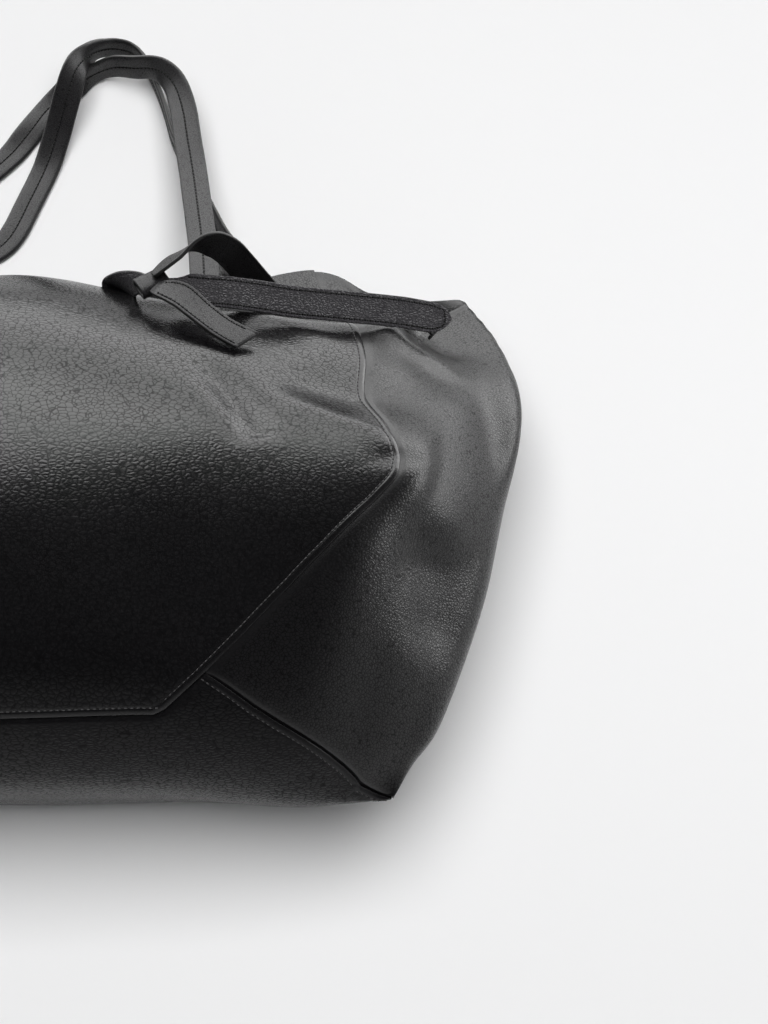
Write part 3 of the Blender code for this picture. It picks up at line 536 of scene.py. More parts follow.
class Skin:
    """The bag's outer surface: a smooth net through the rails, with the folds that it has fallen into."""

    def __init__(self, sizes):
        self.sizes = sizes
        self.size = np.array([sizes.wing_half_width, sizes.body_length, sizes.lying_depth])
        self.origin = np.array([0, ORIGIN_LENGTH_SHARE * sizes.body_length, 0])
        net = np.array(RAIL_SHARES).transpose(1, 0, 2) * self.size
        mirror = np.array([-1, 1, 1])
        rows, rails = net.shape[:2]
        padded = np.empty((rows + 2, rails + 2, 3))
        padded[1:-1, 1:-1] = net
        padded[0, 1:-1] = net[1, ::-1]
        padded[-1, 1:-1] = 2 * net[-1] - net[-2]
        padded[:, 0] = padded[:, 2] * mirror
        padded[:, -1] = padded[:, -3] * mirror
        self.net = padded
        self.folds = []
        for path, height, width, *fades in FOLDS:
            line = smooth_line(path, FOLD_STEPS)
            places = self.smooth(line[:, 0], line[:, 1])[0]
            self.folds.append((places, height * MILLIMETRE, width * MILLIMETRE, fades))

    def half_point(self, rail, station):
        """Point of the right half, by rail and station, pressed flat on the table."""
        row = np.clip(np.floor(station), 0, self.net.shape[0] - 4).astype(int)
        column = np.clip(np.floor(rail), 0, self.net.shape[1] - 4).astype(int)
        along = spline_weights(station - row)
        across = spline_weights(rail - column)
        total = 0
        for i in range(4):
            for j in range(4):
                total = total + (along[..., i] * across[..., j])[..., None] * self.net[row + i, column + j]
        total[..., 2] = np.maximum(total[..., 2], 0)
        return total

    def smooth(self, rail, station):
        """Points and outward normals without the folds. Rails below zero are left, stations below it back."""
        rail = np.asarray(rail, float)
        station = np.asarray(station, float)
        side = np.where(rail < 0, -1.0, 1.0)
        around = np.where(station < 0, LAST_RAIL - abs(rail), abs(rail))
        level = abs(station)
        point = self.half_point(around, level)
        across = self.half_point(around + SKIN_STEP, level) - self.half_point(around - SKIN_STEP, level)
        along = self.half_point(around, level + SKIN_STEP) - self.half_point(around, level - SKIN_STEP)
        normal = np.cross(across, along)
        normal /= np.linalg.norm(normal, axis=-1, keepdims=True)
        flip = np.stack([side, np.ones_like(side), np.ones_like(side)], -1)
        return point * flip - self.origin, normal * flip

    def relief(self, points):
        """Height of the folds and ripples above the smooth surface."""
        right = np.array(points)
        right[..., 0] = abs(right[..., 0])
        total = np.zeros(points.shape[:-1])
        for line, height, width, (fade_in, fade_out) in self.folds:
            gap, share = near_line(right, line)
            fade = faded(share, fade_in) * faded(1 - share, fade_out)
            total += height * fade * np.exp(-(gap / width) ** 2)
        flat = points.reshape(-1, 3) / RIPPLE_LENGTH
        ripples = np.array([noise.noise(Vector(place)) for place in flat]).reshape(total.shape)
        lying = np.clip(points[..., 2] / LYING_FADE, 0, 1)
        return (total + RIPPLE_HEIGHT * ripples) * lying

    def at(self, rail, station):
        """Points and normals of the folded surface."""
        points, normals = self.smooth(rail, station)
        return points + normals * self.relief(points)[..., None], normals

    def place(self, shares, lift=0.0):
        """A place given in shares of the driving dimensions, moved up by a lift."""
        return np.array(shares) * self.size + [0, 0, lift] - self.origin


# Pieces as closed meshes

def finish_piece(name, points, faces, materials, face_materials=None, grain=None):
    """A closed smooth mesh whose faces point outwards."""
    points = np.asarray(points, float)
    mesh = bpy.data.meshes.new(name)
    first = np.array([face[:3] for face in faces])
    a, b, c = points[first[:, 0]], points[first[:, 1]], points[first[:, 2]]
    last = np.array([face[-1] for face in faces])
    volume = (np.cross(a, b) * c).sum() + (np.cross(a, c) * points[last]).sum()
    if volume < 0:
        faces = [face[::-1] for face in faces]
    mesh.from_pydata([tuple(point) for point in points], [], faces)
    for material in materials:
        mesh.materials.append(material)
    if face_materials is not None:
        mesh.polygons.foreach_set("material_index", face_materials)
    if grain is not None:
        mesh.attributes.new("grain", "FLOAT", "POINT").data.foreach_set("value", grain)
    mesh.shade_smooth()
    piece = bpy.data.objects.new(name, mesh)
    bpy.context.scene.collection.objects.link(piece)
    return piece


def grid_faces(rows, columns):
    """Faces of a closed sheet whose outer points come first and whose inner points follow."""
    count = rows * columns
    faces = []
    for i in range(rows - 1):
        for j in range(columns - 1):
            a = i * columns + j
            outer = (a, a + 1, a + columns + 1, a + columns)
            faces.append(outer)
            faces.append(tuple(count + k for k in outer[::-1]))
    for i in range(rows - 1):
        for j, step in ((0, 1), (columns - 1, -1)):
            a = i * columns + j
            rim = (a, a + columns, a + columns + count, a + count)
            faces.append(rim[::step])
    for j in range(columns - 1):
        for i, step in ((0, -1), (rows - 1, 1)):
            a = i * columns + j
            rim = (a, a + 1, a + 1 + count, a + count)
            faces.append(rim[::step])
    return faces


def line_positions(length, step):
    """Distances of the mesh lines of a run of leather: close together at both ends, evenly spaced between."""
    lines = np.array(EDGE_LINES) * MILLIMETRE
    if length < 3 * lines[-1]:
        lines = lines * (length / (3 * lines[-1]))
    middle = np.linspace(lines[-1], length - lines[-1], max(2, round((length - 2 * lines[-1]) / step)))
    return np.concatenate([lines[:-1], middle, (length - lines[:-1])[::-1]])


def by_distance(skin, rails, stations, count_from, step):
    """Rail and station numbers along each row, spaced by distance as its longest row is."""
    points = skin.smooth(rails, stations)[0]
    runs = np.array([distance_along(row) for row in points])
    longest = line_positions(runs[count_from, -1], step)
    lines = np.array(EDGE_LINES) * MILLIMETRE
    new_rails = []
    new_stations = []
    for row in range(len(rails)):
        length = runs[row, -1]
        places = longest * (length / longest[-1])
        if length > 3 * lines[-1]:
            edge = len(lines) - 1
            places[:edge] = lines[:edge]
            places[-edge:] = (length - lines[:edge])[::-1]
            places[edge:-edge] = np.interp(
                np.linspace(0, 1, len(places) - 2 * edge), [0, 1], [lines[-1], length - lines[-1]])
        new_rails.append(np.interp(places, runs[row], rails[row]))
        new_stations.append(np.interp(places, runs[row], stations[row]))
    return np.array(new_rails), np.array(new_stations)


def station_lines(skin, rail, first, last, step):
    """Station numbers, close together at both ends of a run along a rail."""
    fine = np.linspace(first, last, FINE_COUNT)
    run = distance_along(skin.smooth(np.full(FINE_COUNT, rail), fine)[0])
    return np.interp(line_positions(run[-1], step), run, fine)


class Seam:
    """A seam line on the skin, from which the leather beside it takes a shape."""

    def __init__(self, skin, rails, stations, shape):
        self.rails = rails
        self.stations = stations
        self.distances = np.array(shape[0]) * MILLIMETRE
        self.heights = np.array(shape[1]) * MILLIMETRE
        places = skin.smooth(rails, stations)[0]
        run = distance_along(places)
        spots = np.linspace(0, run[-1], int(run[-1] / SEAM_SPACING))
        places = np.stack([np.interp(spots, run, places[:, k]) for k in range(3)], -1)
        self.tree = kdtree.KDTree(len(places))
        for i, place in enumerate(places):
            self.tree.insert(place, i)
        self.tree.balance()

    def distance(self, points):
        """Distance of each point from the seam."""
        flat = points.reshape(-1, 3)
        return np.array([self.tree.find(place)[2] for place in flat]).reshape(points.shape[:-1])

    def height(self, distances):
        """Height of the leather at distances from the seam."""
        return np.interp(distances, self.distances, self.heights)


def panel_edge(stations):
    """Rail number of the panel's edge at each station."""
    return np.interp(stations, PANEL_EDGE_STATIONS, PANEL_EDGE_RAILS)


def beside(skin, seam_rails, seam_stations, distance, toward):
    """A line on the skin at a distance from a seam, towards a place of that piece."""
    points, normals = skin.smooth(seam_rails, seam_stations)
    along = unit(np.gradient(points, axis=0))
    inward = np.cross(normals, along)
    centre = skin.smooth(*[np.array([value]) for value in toward])[0][0]
    middle = len(points) // 2
    if (centre - points[middle]) @ inward[middle] < 0:
        inward = -inward
    by_rail = (skin.smooth(seam_rails + SKIN_STEP, seam_stations)[0] - points) / SKIN_STEP
    by_station = (skin.smooth(seam_rails, seam_stations + SKIN_STEP)[0] - points) / SKIN_STEP
    moved = []
    for i in range(len(points)):
        matrix = np.stack([by_rail[i], by_station[i]], -1)
        moved.append(np.linalg.lstsq(matrix, inward[i] * distance, rcond=None)[0])
    moved = np.array(moved)
    return seam_rails + moved[:, 0], seam_stations + moved[:, 1]


def raised(skin, rails, stations, seams):
    """The smooth surface, its normals, and the heights of folds and seams above it, with the nearest seam."""
    smooth, normals = skin.smooth(rails, stations)
    height = skin.relief(smooth)
    border = np.zeros(height.shape)
    nearest = np.full(height.shape, FAR_FROM_SEAM)
    for seam in seams:
        distance = seam.distance(smooth)
        shape = seam.height(distance)
        border = np.where(distance < nearest, shape, border)
        nearest = np.minimum(nearest, distance)
    return smooth, normals, height, border, nearest


def leather_sheet(name, skin, rails, stations, seams, material, depth=0.0, thickness=None):
    """A sheet of leather that follows the skin, with its edges turned or tucked along its seams."""
    thickness = thickness or skin.sizes.leather_thickness
    smooth, normals, height, border, nearest = raised(skin, rails, stations, seams)
    outer = smooth + normals * (height + border - depth)[..., None]
    inner = smooth + normals * (height - depth - thickness)[..., None]
    for layer in (outer, inner):
        layer[..., 2] = np.maximum(layer[..., 2], 0)
    grain = np.tile(np.clip((nearest - GRAIN_START) / GRAIN_RUN, GRAIN_AT_EDGE_SHARE, 1).ravel(), 2)
    points = np.concatenate([outer.reshape(-1, 3), inner.reshape(-1, 3)])
    return finish_piece(name, points, grid_faces(*rails.shape), [material], grain=grain)


def panel_grid(skin, first, last, step, edge_rails=None):
    """Rail and station numbers of a panel, whose rows run from its left edge to its right."""
    stations = station_lines(skin, PANEL_MEASURE_RAIL, first, last, step)
    edges = panel_edge(stations) if edge_rails is None else np.full(len(stations), edge_rails)
    shares = np.linspace(-1, 1, PANEL_COLUMNS)
    rails = edges[:, None] * shares
    levels = np.repeat(stations[:, None], len(shares), 1)
    return by_distance(skin, rails, levels, int(np.argmax(edges)), step)


def gusset_grid(skin, first, last, step):
    """Rail and station numbers of the right gusset, whose rows run from its front seam to its back seam."""
    stations = station_lines(skin, GUSSET_MEASURE_RAIL, first, last, step)
    edges = np.where(stations <= JUNCTION_STATION, np.interp(stations, BASE_SEAM_STATIONS, BASE_SEAM_RAILS),
                     panel_edge(stations))
    shares = np.linspace(0, 1, GUSSET_COLUMNS)
    front = edges[:, None] + (WING_RAIL - edges[:, None]) * shares
    rails = np.concatenate([front, front[:, -2::-1]], 1)
    signs = np.concatenate([np.ones(len(shares)), -np.ones(len(shares) - 1)])
    longest = int(np.argmin(abs(stations - GUSSET_MEASURE_STATION)))
    # The station's sign changes at the wing, so each row is spaced by a position number and then read back
    position = np.repeat(np.linspace(0, 1, rails.shape[1])[None], len(rails), 0)
    levels = stations[:, None] * signs
    points = skin.smooth(rails, levels)[0]
    runs = np.array([distance_along(row) for row in points])
    lines = np.array(EDGE_LINES) * MILLIMETRE
    edge = len(lines) - 1
    count = len(line_positions(runs[longest, -1], step))
    new_rails = []
    new_levels = []
    for row in range(len(rails)):
        length = runs[row, -1]
        near = lines * min(1, length / (3 * lines[-1]))
        middle = np.linspace(near[-1], length - near[-1], count - 2 * edge)
        places = np.concatenate([near[:edge], middle, (length - near[:edge])[::-1]])
        spot = np.interp(places, runs[row], position[row])
        new_rails.append(np.interp(spot, position[row], rails[row]))
        new_levels.append(np.where(spot <= 0.5, stations[row], -stations[row]))
    return np.array(new_rails), np.array(new_levels)


def base_grid(skin, tip, step):
    """Rail and station numbers of the base, whose rows run from its back edge to its front edge."""
    half = np.linspace(0, 1, FINE_COUNT)
    tops = np.array(BASE_TOP_STATIONS)
    last_rail = np.interp(tip, BASE_SEAM_STATIONS, BASE_SEAM_RAILS)
    run = distance_along(skin.smooth(half * last_rail, np.full(FINE_COUNT, BASE_MEASURE_STATION))[0])
    places = np.arange(0, run[-1], step)
    rails = np.interp(np.append(places, run[-1]), run, half * last_rail)
    corners = [rail for rail in BASE_TOP_RAILS if 0 < rail < last_rail]
    rails = np.unique(np.concatenate([rails, corners]))
    rails = np.concatenate([-rails[:0:-1], rails])
    shares = np.linspace(-1, 1, BASE_COLUMNS)
    levels = np.interp(abs(rails), BASE_TOP_RAILS, tops)[:, None] * shares
    return by_distance(skin, np.repeat(rails[:, None], len(shares), 1), levels, len(rails) // 2, step)


# Straps

def strap_frame(line, toward, closed=False):
    """Directions along a strap's line, across its width and out of its face."""
    if closed:
        along = unit(np.roll(line, -1, 0) - np.roll(line, 1, 0))
    else:
        along = unit(np.gradient(line, axis=0))
    across = unit(toward - along * (toward * along).sum(-1, keepdims=True))
    return along, across, np.cross(along, across)


def strap_section(section, half_width, half_thickness):
    """Loop of a cross-section: distances across, heights, and whether each stretch of it is painted edge."""
    inset = np.array([min(point[0] * MILLIMETRE, half_width) for point in section])
    height = np.array([point[1] for point in section]) * half_thickness
    across = half_width - inset
    top = np.concatenate([across, -across[::-1]])
    rise = np.concatenate([height, height[::-1]])
    loop = np.stack([np.concatenate([top, top[::-1]]), np.concatenate([rise, -rise[::-1]])], -1)
    count = len(top)
    painted = np.zeros(len(loop), int)
    painted[[0, count - 2, count - 1, count, 2 * count - 2, 2 * count - 1]] = 1
    return loop, painted


def rounded_share(distance, reach, power):
    """Width share near a rounded end, by distance from its tip."""
    inside = np.clip(1 - distance / reach, 0, 1)
    return (1 - inside ** 2) ** power


def strap_shell(name, line, toward, shares, width, thickness, section, materials, closed=False, slant=0.0):
    """A strap with a shaped cross-section. Slant cuts its last end at an angle."""
    along, across, up = strap_frame(line, toward, closed)
    loop, painted = strap_section(section, width / 2, thickness / 2)
    run = distance_along(line)
    late = np.clip(1 - (run[-1] - run) / width, 0, 1)
    ring = loop[:, 0] * shares[:, None]
    points = (line[:, None] + across[:, None] * ring[..., None] + up[:, None] * loop[:, 1][:, None]
              + along[:, None] * (ring * slant * late[:, None])[..., None])
    count, around = points.shape[:2]
    faces = []
    face_materials = []
    for i in range(count if closed else count - 1):
        for k in range(around):
            m = (k + 1) % around
            a, b = i * around, ((i + 1) % count) * around
            faces.append((a + k, b + k, b + m, a + m))
            face_materials.append(painted[k])
    points = points.reshape(-1, 3)
    if not closed:
        half = around // 2
        for end, first in ((0, 0), (count - 1, (count - 1) * around)):
            for k in range(half - 1):
                quad = (first + k, first + k + 1, first + around - 2 - k, first + around - 1 - k)
                faces.append(quad if end == 0 else quad[::-1])
                face_materials.append(1)
    return finish_piece(name, points, faces, materials, face_materials)


def strap_row(line, toward, shares, inset, side, face, width, thickness):
    """A row of stitches along a strap, at a distance from one edge, on one face."""
    across, up = strap_frame(line, toward)[1:]
    reach = np.maximum(shares * width / 2 - inset, 0) if inset else np.zeros(len(line))
    return line + across * (side * reach)[:, None] + up * (face * thickness)


def root_row(skin, rail, station, depth, beyond=0.0):
    """A place on the inside of the skin, at a depth, moved on past the mouth edge by a distance."""
    point, normal = skin.at(rail, station)
    further = skin.at(rail + RAIL_STEP, station)[0]
    along = unit(point - skin.at(rail, station - RAIL_STEP * np.sign(station))[0])
    return point - normal * depth + along * beyond, unit(further - point)


def handle_line(skin, end_rails, way, route):
    """Centre line and width directions of a handle, from its right sewn end to its left."""
    sizes = skin.sizes
    depth = sizes.leather_thickness + sizes.lining_thickness + 2 * LAYER_GAP + sizes.strap_thickness / 2
    rail = sum(end_rails) / len(end_rails)
    places = []
    towards = []
    for side, order in ((1, 1), (-1, -1)):
        roots = []
        for beyond in (END_GAP, ROOT_RUN):
            place, toward = root_row(skin, rail, MOUTH_STATION * way, depth, beyond)
            roots.append((place * [side, 1, 1], toward * [1, side, side] * side))
        if side > 0:
            middle = [(skin.place(shares[:3], shares[3] * sizes.strap_width), toward)
                      for shares, toward in route]
            rows = roots + middle
        else:
            rows = roots[::-1]
        places += [row[0] for row in rows]
        towards += [row[1] for row in rows]
    return smooth_line(places, STRAP_STEPS), smooth_line(towards, STRAP_STEPS)


def knot_frame(skin):
    """The knot's centre, its directions, and half its size inside the band."""
    sizes = skin.sizes
    centre = skin.place(KNOT_CENTRE_SHARES, TIE_LIFT_SHARE * sizes.tie_thickness)
    height = sizes.strap_width * PINCHED_WIDTH_SHARE / 2 + KNOT_CLEARANCE
    depth = sizes.tie_thickness / 2 + KNOT_CLEARANCE
    return centre, np.array(KNOT_DIRECTIONS), np.array([sizes.strap_width / 2, height, depth])


def knot_place(skin, shares):
    """A place near the knot, as shares of its half width and its outer half height and half depth."""
    centre, directions, inner = knot_frame(skin)
    outer = inner + [0, skin.sizes.tie_thickness, skin.sizes.tie_thickness]
    return centre + (np.array(shares) * outer) @ directions


def tie_rows(skin, route):
    """Places, width directions and width shares of a tie."""
    lift = TIE_LIFT_SHARE * skin.sizes.tie_thickness
    return [(skin.place(shares, lift), toward, width_share) for shares, toward, width_share in route]


def tie_line(rows, side):
    """Smooth centre line, width directions and width shares of a tie, on the right or the left."""
    line = smooth_line([row[0] for row in rows], STRAP_STEPS) * [side, 1, 1]
    toward = smooth_line([row[1] for row in rows], STRAP_STEPS) * [side, 1, 1]
    shares = smooth_line([[row[2]] for row in rows], STRAP_STEPS)[:, 0]
    return line, toward, np.clip(shares, 0, 1)


# Shader maths

class Wire:
    """A value in a material's node tree. Arithmetic on wires adds Math nodes."""

    def __init__(self, sheet, socket):
        self.sheet = sheet
        self.socket = socket

    def __add__(self, other):
        return self.sheet.math("ADD", self, other)

    def __radd__(self, other):
        return self.sheet.math("ADD", other, self)

    def __sub__(self, other):
        return self.sheet.math("SUBTRACT", self, other)

    def __rsub__(self, other):
        return self.sheet.math("SUBTRACT", other, self)

    def __mul__(self, other):
        return self.sheet.math("MULTIPLY", self, other)

    def __rmul__(self, other):
        return self.sheet.math("MULTIPLY", other, self)


class NodeSheet:
    """A node tree being filled in."""

    def __init__(self, tree):
        self.tree = tree
        tree.nodes.clear()

    def node(self, kind, settings=None, **values):
        """Adds a node: its settings first, then what goes into its sockets."""
        made = self.tree.nodes.new(kind)
        for name, value in (settings or {}).items():
            setattr(made, name, value)
        for name, value in values.items():
            self.plug(made.inputs[name.replace("_", " ")], value)
        return made

    def plug(self, socket, value):
        """Joins a wire to a socket, or sets the socket's value."""
        if isinstance(value, Wire):
            self.tree.links.new(value.socket, socket)
        elif isinstance(value, bpy.types.NodeSocket):
            self.tree.links.new(value, socket)
        else:
            socket.default_value = value

    def wire(self, node, output=0):
        """A wire from one of a node's outputs."""
        return Wire(self, node.outputs[output])

    def math(self, operation, first, second, clamp=False):
        """A Math node."""
        made = self.tree.nodes.new("ShaderNodeMath")
        made.operation = operation
        made.use_clamp = clamp
        self.plug(made.inputs[0], first)
        self.plug(made.inputs[1], second)
        return self.wire(made)

    def rise(self, value, low, high):
        """A smooth rise from 0 at low to 1 at high."""
        made = self.node("ShaderNodeMapRange", {"interpolation_type": "SMOOTHSTEP"}, Value=value)
        made.inputs["From Min"].default_value = low
        made.inputs["From Max"].default_value = high
        return self.wire(made)

    def blend_colours(self, factor, first, second):
        """A mix of two colours."""
        made = self.tree.nodes.new("ShaderNodeMix")
        made.data_type = "RGBA"
        self.plug(made.inputs["Factor"], factor)
        for socket, value in ((made.inputs[6], first), (made.inputs[7], second)):
            self.plug(socket, value if isinstance(value, (Wire, bpy.types.NodeSocket)) else (*value, 1))
        return Wire(self, made.outputs[2])


def new_material(name):
    """A material with an empty node tree."""
    material = bpy.data.materials.new(name)
    material.use_nodes = True
    return material, NodeSheet(material.node_tree)


def tinted(colour, factor):
    """A colour made lighter or darker by a factor."""
    return tuple(channel * factor for channel in colour)


def leather_material(name, colour, pebble, relief, roughness, fade, mirror):
    """Pebbled leather: rounded cells between fine creases, over slow changes of tone and gloss, with painted
    shade in and towards the creases.
    """
    material, sheet = new_material(name)
    place = sheet.wire(sheet.node("ShaderNodeTexCoord"), "Object")
    warp = sheet.node("ShaderNodeTexNoise", {}, Vector=place, Scale=WARP_SCALE, Detail=2.0)
    push = sheet.node("ShaderNodeVectorMath", {"operation": "SCALE"}, Vector=sheet.wire(warp, "Color"))
    push.inputs["Scale"].default_value = pebble[1] * WARP_SHARE
    moved = sheet.node("ShaderNodeVectorMath", {"operation": "ADD"})
    sheet.plug(moved.inputs[0], place)
    sheet.plug(moved.inputs[1], sheet.wire(push))
    stretched = sheet.node("ShaderNodeMapping", {}, Vector=sheet.wire(moved))
    stretched.inputs["Scale"].default_value = [1 / length for length in pebble]
    cells = sheet.node("ShaderNodeTexVoronoi", {"feature": "DISTANCE_TO_EDGE"}, Vector=sheet.wire(stretched),
                       Scale=1.0)
    dome = sheet.rise(sheet.wire(cells, "Distance"), 0.0, DOME_REACH)
    crease = 1 - sheet.rise(sheet.wire(cells, "Distance"), CREASE_START, CREASE_REACH)
    pores = sheet.node("ShaderNodeTexNoise", {}, Vector=place, Scale=PORE_SCALE, Detail=1.0)
    slow = sheet.node("ShaderNodeTexNoise", {}, Vector=place, Scale=HIDE_SCALE, Detail=3.0)
    height = dome + sheet.wire(pores, "Fac") * PORE_SHARE
    if fade:
        grain = sheet.node("ShaderNodeAttribute", {"attribute_name": "grain"})
        height = height * sheet.wire(grain, "Fac")
        crease = crease * sheet.wire(grain, "Fac")
    bump = sheet.node("ShaderNodeBump", {}, Height=height, Strength=1.0, Distance=relief)
    # Painted shade: each pebble's colour darkens from its dome towards its creases
    tone = sheet.wire(slow, "Fac") * HIDE_TONE_SHARE + dome * DOME_PAINTED_SHADE_SHARE + LEAST_TONE_SHARE
    shade = sheet.blend_colours(tone, *[tinted(colour, factor) for factor in HIDE_TONES])
    gloss = sheet.wire(slow, "Fac") * HIDE_GLOSS + (roughness - HIDE_GLOSS / 2)
    shader = sheet.node("ShaderNodeBsdfPrincipled", {}, Base_Color=shade, Roughness=gloss,
                        Normal=sheet.wire(bump))
    shader.inputs["Specular IOR Level"].default_value = mirror
    # Painted shade: a darker matte shader is mixed into the creases
    crease_shade_shader = sheet.node("ShaderNodeBsdfDiffuse")
    crease_shade_shader.inputs["Color"].default_value = (*tinted(colour, CREASE_SHADE_TONE), 1)
    mixed = sheet.node("ShaderNodeMixShader")
    sheet.plug(mixed.inputs[0], crease * CREASE_PAINTED_SHADE)
    sheet.plug(mixed.inputs[1], sheet.wire(shader))
    sheet.plug(mixed.inputs[2], sheet.wire(crease_shade_shader))
    output = sheet.node("ShaderNodeOutputMaterial")
    sheet.plug(output.inputs["Surface"], sheet.wire(mixed))
    return material


def plain_material(name, colour, roughness, grain_size, relief, sheen):
    """Paint, thread or suede: a colour with a fine irregular surface."""
    material, sheet = new_material(name)
    place = sheet.wire(sheet.node("ShaderNodeTexCoord"), "Object")
    fine = sheet.node("ShaderNodeTexNoise", {}, Vector=place, Scale=1 / grain_size, Detail=3.0)
    slow = sheet.node("ShaderNodeTexNoise", {}, Vector=place, Scale=PLAIN_SCALE, Detail=2.0)
    bump = sheet.node("ShaderNodeBump", {}, Height=sheet.wire(fine, "Fac"), Strength=1.0, Distance=relief)
    slow_share, fine_share = PLAIN_TONE_SHARES
    tone = sheet.wire(slow, "Fac") * slow_share + sheet.wire(fine, "Fac") * fine_share
    shade = sheet.blend_colours(tone, *[tinted(colour, factor) for factor in PLAIN_TONES])
    gloss = sheet.wire(fine, "Fac") * PLAIN_GLOSS + (roughness - PLAIN_GLOSS / 2)
    shader = sheet.node("ShaderNodeBsdfPrincipled", {}, Base_Color=shade, Roughness=gloss,
                        Normal=sheet.wire(bump))
    shader.inputs["Sheen Weight"].default_value = sheen
    output = sheet.node("ShaderNodeOutputMaterial")
    sheet.plug(output.inputs["Surface"], sheet.wire(shader))
    return material


def finish_named(name):
    """A finish of the bag, made the first time that it is asked for."""
    found = bpy.data.materials.get(name)
    if found:
        return found
    sizes = bpy.context.scene.tote_sizes
    colours = bpy.context.scene.tote_colours
    if name in PLAIN_FINISHES:
        colour, factor, *look = PLAIN_FINISHES[name]
        return plain_material(name, tinted(getattr(colours, colour), factor), *look)
    long, wide = sizes.grain_length, sizes.grain_width
    strap = tuple(colours.strap)
    leather = tuple(colours.leather)
    colour, pebble = {
        "panel_grain": (leather, (long, wide, wide)),
        "base_grain": (leather, (long * 1.1, wide * 0.7, wide * 0.7)),
        "gusset_grain": (leather, (wide * 0.8, wide * 0.7, wide * 0.7)),
        "strap_face": (strap, (wide * 0.5, wide * 0.5, wide * 0.5)),
        "strap_grain": (tinted(strap, STRAP_GRAIN_AND_SHEEN_FACTOR), (wide * 0.9, wide * 0.6, wide * 0.6)),
    }[name]
    return leather_material(name, colour, pebble, *LEATHERS[name])


# Stitches

def stitch_tree():
    """Geometry nodes that sew along lines: a thread on each pitch, and painted shade in the hole between two.
    """
    found = bpy.data.node_groups.get("stitch_row")
    if found:
        return found
    tree = bpy.data.node_groups.new("stitch_row", "GeometryNodeTree")
    face = tree.interface
    face.new_socket("Rows", in_out="INPUT", socket_type="NodeSocketGeometry")
    for name in ("Pitch", "Thread Width"):
        face.new_socket(name, in_out="INPUT", socket_type="NodeSocketFloat")
    for name in ("Thread", "Hole"):
        face.new_socket(name, in_out="INPUT", socket_type="NodeSocketMaterial")
    face.new_socket("Stitches", in_out="OUTPUT", socket_type="NodeSocketGeometry")
    sheet = NodeSheet(tree)
    given = sheet.node("NodeGroupInput")
    curve = sheet.node("GeometryNodeMeshToCurve", {}, Mesh=given.outputs["Rows"])
    spaced = sheet.node("GeometryNodeResampleCurve", {"mode": "LENGTH"}, Curve=curve.outputs[0],
                        Length=given.outputs["Pitch"])
    tangent = sheet.node("GeometryNodeInputTangent")
    turn = sheet.node("FunctionNodeAlignRotationToVector", {"axis": "X"}, Vector=tangent.outputs[0])
    joined = sheet.node("GeometryNodeJoinGeometry")
    for material, length, width, shift in STITCH_BALLS:
        ball = sheet.node("GeometryNodeMeshUVSphere", {}, Segments=6, Rings=4, Radius=1.0)
        size = sheet.node("ShaderNodeCombineXYZ")
        sheet.plug(size.inputs["X"], sheet.math("MULTIPLY", given.outputs["Pitch"], length))
        for axis in ("Y", "Z"):
            sheet.plug(size.inputs[axis], sheet.math("MULTIPLY", given.outputs["Thread Width"], width / 2))
        away = sheet.node("ShaderNodeCombineXYZ", {}, X=sheet.math("MULTIPLY", given.outputs["Pitch"], shift))
        shaped = sheet.node("GeometryNodeTransform", {}, Geometry=ball.outputs[0],
                            Translation=sheet.wire(away), Scale=sheet.wire(size))
        placed = sheet.node("GeometryNodeInstanceOnPoints", {}, Points=spaced.outputs[0],
                            Instance=shaped.outputs[0], Rotation=turn.outputs[0])
        real = sheet.node("GeometryNodeRealizeInstances", {}, Geometry=placed.outputs[0])
        smooth = sheet.node("GeometryNodeSetShadeSmooth", {}, Geometry=real.outputs[0])
        dyed = sheet.node("GeometryNodeSetMaterial", {}, Geometry=smooth.outputs[0],
                          Material=given.outputs[material])
        sheet.tree.links.new(dyed.outputs[0], joined.inputs[0])
    result = sheet.node("NodeGroupOutput")
    sheet.tree.links.new(joined.outputs[0], result.inputs[0])
    return tree


def sew(name, rows, thread="thread", weight=1.0):
    """A plain mesh of stitches along rows of points."""
    points = np.concatenate(rows)
    edges = []
    first = 0
    for row in rows:
        edges += [(first + i, first + i + 1) for i in range(len(row) - 1)]
        first += len(row)
    lines = bpy.data.meshes.new(name + "_rows")
    lines.from_pydata([tuple(point) for point in points], edges, [])
    piece = bpy.data.objects.new(name, lines)
    bpy.context.scene.collection.objects.link(piece)
    tree = stitch_tree()
    sizes = bpy.context.scene.tote_sizes
    values = {"Pitch": sizes.stitch_pitch, "Thread Width": sizes.thread_width * weight,
              "Thread": finish_named(thread), "Hole": finish_named("stitch_hole")}
    modifier = piece.modifiers.new("stitches", "NODES")
    modifier.node_group = tree
    for socket in tree.interface.items_tree:
        if socket.name in values and socket.in_out == "INPUT":
            modifier[socket.identifier] = values[socket.name]
    bpy.context.view_layer.update()
    made = piece.evaluated_get(bpy.context.evaluated_depsgraph_get())
    piece.data = bpy.data.meshes.new_from_object(made)
    piece.modifiers.clear()
    bpy.data.meshes.remove(lines)
    if not piece.data.polygons:
        raise RuntimeError("no stitches were made for " + name)
    return piece


# Operators

class BuildOperator:
    """What the operators share."""
    bl_options = {"REGISTER", "UNDO"}


def point_at(thing, target):
    """Turn a lamp towards a place."""
    thing.rotation_euler = (Vector(target) - thing.location).to_track_quat("-Z", "Y").to_euler()


def add_lamp(name, place, target, width, height, radiance, mirrored):
    """A soft box that either shines in the leather's gloss or lights the table."""
    lamp = bpy.data.lights.new(name, "AREA")
    lamp.shape = "RECTANGLE"
    lamp.size = width
    lamp.size_y = height
    lamp.energy = radiance * math.pi * width * height
    made = bpy.data.objects.new(name, lamp)
    made.location = place
    made.visible_camera = False
    made.visible_glossy = mirrored
    made.visible_diffuse = not mirrored
    point_at(made, target)
    bpy.context.scene.collection.objects.link(made)


